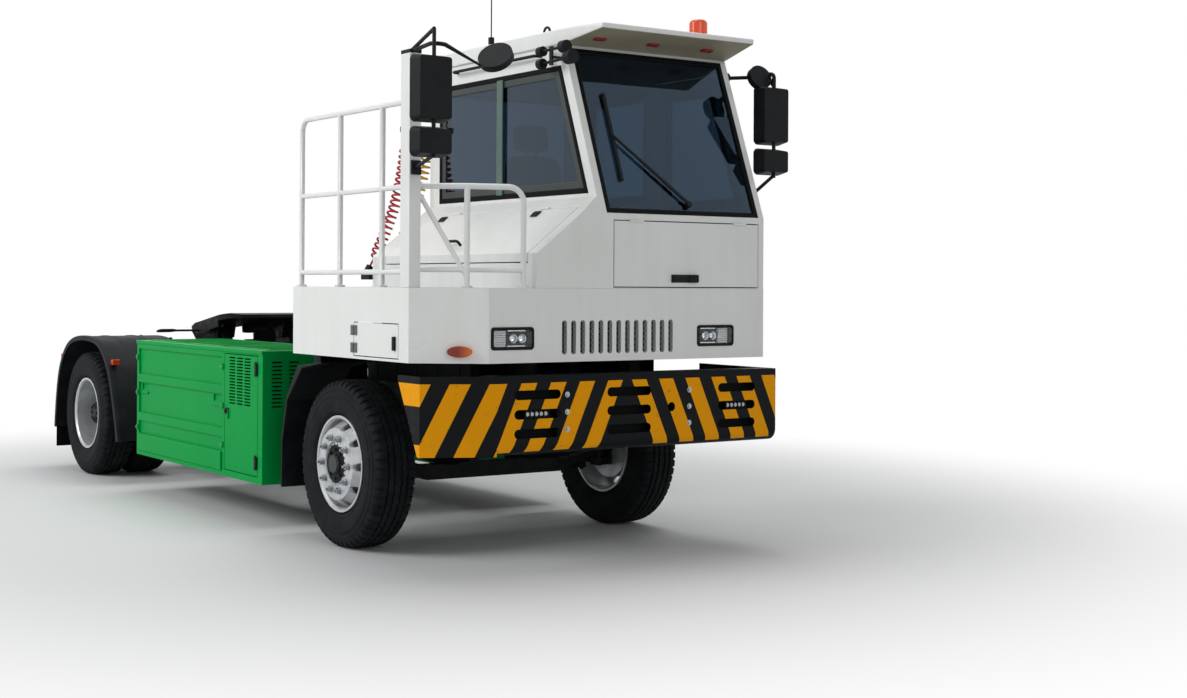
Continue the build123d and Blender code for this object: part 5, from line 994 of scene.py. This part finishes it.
def dressBox(label, side, doorBody, look):
    out, top = look["out"], look["top"]
    lugs = [(x, z) for x in look["lugX"] for z in look["lugZ"]]
    x0, x1 = look["panel"]
    form = bmesh.new()
    sideBox(form, side, (look["rear"] - 0.004, look["front"] + 0.004), (out - 0.004, out + 0.008),
            (look["lipZ"], top + 0.002))
    addPlate(form, [(x0, side * (out + a), z) for a, z in look["ridge"]], (x1 - x0, 0, 0), 0.003)
    wide, high = look["lugHalf"]
    for x, z in lugs:
        sideBox(form, side, (x - wide, x + wide), (out - 0.002, out + 0.010), (z - high, z + high))
    (deep, upper), (shallow, lower) = look["pull"]
    for x in look["pullX"]:
        left, right = x - look["pullHalf"], x + look["pullHalf"]
        back, front = side * (out - deep), side * (out - shallow)
        scoop = [(left, back, upper), (right, back, upper), (right, front, lower), (left, front, lower)]
        addPlate(form, scoop, (0, 0, -0.004), 0.001)
    newPiece(label + "BoxTrim", form, "greenEnamel")
    form = bmesh.new()
    for x, z in lugs:
        addHexNut(form, (x, side * (out + 0.010), z), (0, side, 0), 0.013, 0.007)
    newPiece(label + "BoxBolts", form, "zincSteel")
    form = bmesh.new()
    for z in look["hingeZ"]:
        sideBox(form, side, look["hingeX"], (out + 0.001, out + 0.006),
                (z - look["hingeHalf"], z + look["hingeHalf"]), 0.002)
        for shift in (-0.030, 0.030):
            addScrew(form, (look["hingeScrewX"], side * (out + 0.005), z + shift), (0, side * 0.004, 0))
    x, z = look["latch"]
    wide, high = look["latchHalf"]
    sideBox(form, side, (x - wide, x + wide), (out + 0.001, out + 0.012), (z - high, z + high), 0.006)
    knob = Vector((x - 0.010, side * (out + 0.010), z))
    addRod(form, knob, knob + Vector((0, side * 0.008, 0)), look["knobRadius"], 20, edge=0.002)
    newPiece(label + "BoxDoorFittings", form, "blackAbs", doorBody)
    form = bmesh.new()
    for x0, x1 in look["treads"]:
        sideBox(form, side, (x0, x1), look["treadY"], (top + 0.0005, top + 0.005), 0.002)
        for i in range(look["ribs"]):
            x = x0 + (x1 - x0) * (i + 0.5) / look["ribs"]
            sideBox(form, side, (x - look["ribHalf"], x + look["ribHalf"]), look["ribY"],
                    (top + 0.004, top + 0.008), 0.001)
    newPiece(label + "BoxTopTread", form, "greenEnamel")


dressBox("left", 1, "box_door_left", boxLook)
dressBox("right", -1, "box_door_right", boxLook)
print("battery boxes dressed")


# railings: a round flange with four bolts under each upright
railLook = {"deck": 1.6225, "flange": 0.034, "collar": (0.024, 0.0185), "boltCircle": 0.027,
            "uprights": ((1.555, -1.212), (2.076, -1.212), (2.600, -1.212), (3.100, -0.940), (3.199, -0.620))}
form, bolts = bmesh.new(), bmesh.new()
deck, circle = railLook["deck"], railLook["boltCircle"]
wide, slim = railLook["collar"]
for x, y in railLook["uprights"]:
    addRod(form, (x, y, deck), (x, y, deck + 0.007), railLook["flange"], 28, edge=0.0015)
    addRod(form, (x, y, deck + 0.006), (x, y, deck + 0.014), wide, 24, tip=slim)
    for i in range(4):
        angle = pi / 4 + pi / 2 * i
        spot = (x + circle * cos(angle), y + circle * sin(angle), deck + 0.006)
        addHexNut(bolts, spot, (0, 0, 1), 0.009, 0.005)
newPiece("railFlanges", form, "whiteEnamel")
newPiece("railBolts", bolts, "zincSteel")

# roof: beacon foot, red markers under the visor
roofLook = {"beacon": (2.900, 0.930, 3.2055),
            "foot": ((0.0, 0.0), (0.0, 0.066), (0.010, 0.066), (0.016, 0.0625), (0.024, 0.0625),
                     (0.026, 0.0600), (0.026, 0.0)),
            "markerX": (2.990, 3.030), "markerY": (0.060, 0.471, 0.906), "markerZ": (3.124, 3.142),
            "markerHalf": 0.042, "markerTilt": -9}
form = bmesh.new()
addSpin(form, roofLook["foot"], roofLook["beacon"], (0, 0, 1), 40)
newPiece("beaconFoot", form, "blackAbs")
form = bmesh.new()
tilt = Matrix.Rotation(radians(roofLook["markerTilt"]), 4, "Y")
(x0, x1), (z0, z1), half = roofLook["markerX"], roofLook["markerZ"], roofLook["markerHalf"]
for y in roofLook["markerY"]:
    addBox(form, (x0, y - half, z0), (x1, y + half, z1), 0.005, turn=tilt)
newPiece("visorMarkers", form, "redLens")
print("railings and roof dressed")


# rear fenders: a smooth arch with two beads and a turned lip, arms to the frame, mudflap, side markers
fenderLook = {
    "outline": ((-1.685, 0.357), (-1.830, 0.845), (-2.050, 1.090), (-2.260, 1.180), (-2.780, 1.180),
                (-3.050, 1.060), (-3.240, 0.770), (-3.285, 0.357)),
    # section: distance from the centre line, lift off the arch
    "section": ((0.575, 0), (0.790, 0), (0.797, 0.005), (0.813, 0.005), (0.820, 0), (1.020, 0),
                (1.027, 0.005), (1.043, 0.005), (1.050, 0), (1.198, 0), (1.206, 0.006), (1.236, 0.006),
                (1.245, 0), (1.245, -0.035), (1.237, -0.035), (1.237, -0.012), (0.575, -0.012)),
    "flapX": -3.285, "flapY": (0.595, 1.225), "flapZ": (0.180, 0.372), "flapRibs": 9, "ribZ": (0.195, 0.345),
    "armX": (-2.210, -2.910), "armHalf": 0.025,
    # arms: span across, span up, edge radius
    "arms": (((0.430, 0.600), (1.080, 1.120), 0.004), ((0.430, 0.470), (0.850, 1.119), 0.004),
             ((0.577, 0.589), (1.080, 1.172), 0.003)),
    # side markers: x, z, ahead or behind
    "markers": ((-1.935, 0.985, 1), (-3.128, 0.985, -1)), "markerY": (1.160, 1.220),
    "bracketY": (1.175, 1.205),
}
line = routeLine([(x, 0, z) for x, z in fenderLook["outline"]])
line = line[:-1:4] + line[-1:]
hub = Vector((rearAxle, 0, tyreRadius))


def makeFender(label, side, look):
    form = bmesh.new()
    loops = []
    for i, spot in enumerate(line):
        ahead = (line[min(i + 1, len(line) - 1)] - line[max(i - 1, 0)]).normalized()
        out = ahead.cross(Vector((0, 1, 0)))
        out = out if out.dot(spot - hub) > 0 else -out
        loops.append([spot + out * lift + Vector((0, side * y, 0)) for y, lift in look["section"]])
    addLoops(form, loops, closeFirst=True, closeLast=True)
    arch = newPiece(label + "RearFender", form, "fenderPlastic", smooth=40)
    form = bmesh.new()
    x, (y0, y1) = look["flapX"], look["flapY"]
    sideBox(form, side, (x, x + 0.010), look["flapY"], look["flapZ"])
    for i in range(look["flapRibs"]):
        y = y0 + (y1 - y0) * (i + 0.5) / look["flapRibs"]
        sideBox(form, side, (x + 0.009, x + 0.013), (y - 0.010, y + 0.010), look["ribZ"], 0.002)
    newPiece(label + "Mudflap", form, "gasketRubber")
    form = bmesh.new()
    for x in look["armX"]:
        for ys, zs, edge in look["arms"]:
            sideBox(form, side, (x - look["armHalf"], x + look["armHalf"]), ys, zs, edge)
    for x, z, ahead in look["markers"]:
        low, high = sorted((x, x + ahead * 0.050))
        sideBox(form, side, (low, high), look["bracketY"], (z - 0.030, z - 0.022), 0.002)
        high = low + 0.006 if ahead > 0 else high
        sideBox(form, side, (low, high), look["bracketY"], (z - 0.060, z - 0.024), 0.002)
    newPiece(label + "FenderArms", form, "chassisBlack")
    form = bmesh.new()
    for x, z, ahead in look["markers"]:
        span = sorted((x + ahead * 0.012, x + ahead * 0.062))
        sideBox(form, side, span, look["markerY"], (z - 0.022, z + 0.022), 0.006, 3)
    newPiece(label + "SideMarkers", form, "markerLens")
    return arch


for label, side in (("left", 1), ("right", -1)):
    arch = makeFender(label, side, fenderLook)
    if side > 0:
        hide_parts("rear_fenders")
print("rear fenders made")

# rear hubs: the drive flange stands out of the dish, with a ring of bolts
rearHubLook = {"base": 0.965, "boltCircle": 0.062, "bolts": 8, "boltFace": 1.124,
               "profile": ((0.0, 0.112), (0.028, 0.112), (0.034, 0.100), (0.120, 0.092), (0.154, 0.087),
                           (0.160, 0.081), (0.160, 0.0))}
for label, body, side in (("rearLeft", "wheels_rear_left", 1), ("rearRight", "wheels_rear_right", -1)):
    form = bmesh.new()
    middle = (rearAxle, side * rearHubLook["base"], tyreRadius)
    addSpin(form, rearHubLook["profile"], middle, (0, side, 0), 48)
    for i in range(rearHubLook["bolts"]):
        angle = 2 * pi * i / rearHubLook["bolts"]
        place = around(rearAxle, rearHubLook["boltCircle"], angle, side * rearHubLook["boltFace"])
        addHexNut(form, place, (0, side, 0), wheelLook["hubAcross"], wheelLook["hubHigh"])
    newPiece(label + "DriveFlange", form, "chassisBlack", body)
print("rear hubs made")

# black sheets under the cab, painted shade: they close the wheel arches inwards and to the rear, dark as the
# deep shade under the cab
archShadeSheetLook = {"x": (1.500, 2.760), "y": 0.690, "z": (1.012, 1.352), "plate": 0.006, "ribs": 5,
              "wingY": 1.080, "wingZ": 1.222,
              "linerX": 1.244, "linerY": (0.560, 0.838), "linerZ": (0.330, 1.205)}
form = bmesh.new()
(x0, x1), (z0, z1) = archShadeSheetLook["x"], archShadeSheetLook["z"]
y, plate, linerX = archShadeSheetLook["y"], archShadeSheetLook["plate"], archShadeSheetLook["linerX"]
for side in (-1, 1):
    sideBox(form, side, (x0, x1), (y, y + plate), (z0, z1), 0.002)
    for i in range(archShadeSheetLook["ribs"]):
        x = x0 + (x1 - x0) * (i + 0.5) / archShadeSheetLook["ribs"]
        sideBox(form, side, (x - 0.010, x + 0.010), (y - 0.004, y + plate + 0.004), (z0 + 0.02, z1 - 0.02))
    sideBox(form, side, (x0, x0 + plate), (y, archShadeSheetLook["wingY"]), (archShadeSheetLook["wingZ"], z1), 0.002)
    sideBox(form, side, (linerX, linerX + plate), archShadeSheetLook["linerY"], archShadeSheetLook["linerZ"], 0.002)
addBox(form, (x0, -y, z0), (x0 + plate, y, z1), 0.002)
newPiece("archShadeSheets", form, "gasketRubber")

# side hatch hinges, front hatch lever ends, flap hinge leaves and feet
hingeLook = {"x": (1.680, 2.765), "y": -0.232, "lift": 0.006, "half": (0.034, 0.026, 0.003),
             "screws": (-0.020, 0.020)}
leverEnds = [
    # spans along x, y and z, edge radius
    ((3.246, 3.262), (0.570, 0.642), (1.660, 1.708), 0.006),
    ((3.246, 3.260), (0.438, 0.476), (1.664, 1.704), 0.007),
]
leverPin = {"x": (3.256, 3.2645), "y": 0.606, "radius": 0.014}
flapLook = {"y": (-1.2555, -1.2500), "z": (1.261, 1.365), "half": 0.030, "screwY": -1.2550,
            "screws": (-0.018, 0.018)}
form = bmesh.new()
slope = Matrix.Rotation(atan2(hatchSlope["rise"], 1.0), 4, "X")
half = Vector(hingeLook["half"])
for x in hingeLook["x"]:
    middle = Vector((x, hingeLook["y"], hatchHeight(hingeLook["y"])))
    middle += slope @ Vector((0, 0, hingeLook["lift"]))
    addBox(form, middle - half, middle + half, 0.002, turn=slope)
    for shift in hingeLook["screws"]:
        addScrew(form, middle + slope @ Vector((shift, 0, 0.002)), slope @ Vector((0, 0, 0.006)))
newPiece("sideHatchHinges", form, "blackAbs", "shoulder_hatch")
form = bmesh.new()
for xs, ys, zs, edge in leverEnds:
    sideBox(form, 1, xs, ys, zs, edge, 3)
near, far = leverPin["x"]
y, z = leverPin["y"], leverLook["z"]
addRod(form, (near, y, z), (far, y, z), leverPin["radius"], 24, edge=0.002)
newPiece("noseHatchLever", form, "blackAbs", "nose_hatch")
for name, body, span in (("flapLeaves", "charge_flap", (2.343, 2.374)),
                         ("flapHingeFeet", "chassis", (2.296, 2.325))):
    form = bmesh.new()
    for z in flapLook["z"]:
        sideBox(form, 1, span, flapLook["y"], (z - flapLook["half"], z + flapLook["half"]), 0.002)
        for shift in flapLook["screws"]:
            addScrew(form, (sum(span) / 2, flapLook["screwY"], z + shift), (0, -0.003, 0), 0.005)
    newPiece(name, form, "greyPaint", body)
print("hinges and splash sheets made")


# driver's seat: crowned cushion, back and head pad with sewn channels, on a bellows base
seatLook = {"middleY": 0.545, "cuts": 11, "pull": 0.055, "cornerPull": 0.05, "sewn": 0.011, "sewnHalf": 0.10,
            "low": (1.700, 0.365, 1.395), "high": (2.060, 0.725, 1.760),
            "folds": 5, "foldFoot": 0.050, "foldPitch": 0.050, "foldHigh": 0.036,
            "stemY": (0.505, 0.585), "stem": ((1.590, 2.535), (1.585, 2.600)), "stemRadius": 0.007}
seatPads = [
    # name, foot and top of the pad's middle line (x, z), half width, half depth, crown, channels
    ("seatCushion", (1.650, 1.835), (2.130, 1.835), 0.245, 0.058, 0.016, (-0.42, 0.42)),
    ("seatBack", (1.700, 1.895), (1.592, 2.550), 0.236, 0.046, 0.016, (-0.45, 0.45)),
    ("seatHead", (1.592, 2.565), (1.568, 2.750), 0.136, 0.040, 0.012, ()),
]


def addPad(form, foot, top, half, deep, crown, channels, look):
    # a block grown into a pad: corners rounded, faces crowned, sewn channels pressed in
    bmesh.ops.create_cube(form, size=2.0)
    bmesh.ops.subdivide_edges(form, edges=form.edges[:], cuts=look["cuts"], use_grid_fill=True)
    foot, top = [Vector((x, look["middleY"], z)) for x, z in (foot, top)]
    ahead = (top - foot).normalized()
    across = Vector((0, 1, 0))
    thick = ahead.cross(across)
    reach = (top - foot).length / 2
    for vert in form.verts:
        u, v, w = vert.co
        pull = 1 - look["pull"] * (abs(u) ** 6 + abs(v) ** 6) - look["cornerPull"] * abs(u * v) ** 3
        swell = crown * (1 - u ** 4) * (1 - v ** 4)
        for channel in channels:
            swell -= look["sewn"] * max(0.0, 1 - abs(u - channel) / look["sewnHalf"]) * (1 - v ** 8)
        lift = w * (deep - crown) + (swell if w > 0 else -swell) * abs(w)
        vert.co = (foot + top) / 2 + across * u * half * pull + ahead * v * reach * pull + thick * lift
    bmesh.ops.smooth_vert(form, verts=form.verts, factor=0.5, use_axis_x=True, use_axis_y=True,
                          use_axis_z=True)


for name, foot, top, half, deep, crown, channels in seatPads:
    form = bmesh.new()
    addPad(form, foot, top, half, deep, crown, channels, seatLook)
    made = newPiece(name, form, "seatVinyl", smooth=80)
    soft = made.modifiers.new("round", "SUBSURF")
    soft.levels = soft.render_levels = 1
    if name == "seatCushion":
        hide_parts("driver_seat")
form = bmesh.new()
low, high = Vector(seatLook["low"]), Vector(seatLook["high"])
folds = [low.z + seatLook["foldFoot"] + i * seatLook["foldPitch"] for i in range(seatLook["folds"])]
tiers = [
    # margin at the sides and behind, margin in front, foot and top, edge radius, segments
    (0.0, 0.0, low.z, low.z + 0.040, 0.006, 2),
    *[(-0.02, -0.02, z, z + seatLook["foldHigh"], 0.014, 3) for z in folds],
    (-0.04, -0.04, low.z + 0.03, high.z - 0.04, 0.004, 2),
    (0.02, 0.03, high.z - 0.055, high.z + 0.015, 0.010, 3),
]
for margin, fore, z0, z1, edge, segments in tiers:
    addBox(form, (low.x - margin, low.y - margin, z0), (high.x + fore, high.y + margin, z1), edge, segments)
(footX, footZ), (topX, topZ) = seatLook["stem"]
for y in seatLook["stemY"]:
    addRod(form, (footX, y, footZ), (topX, y, topZ), seatLook["stemRadius"], 14)
newPiece("seatBase", form, "blackAbs")
print("seat made")
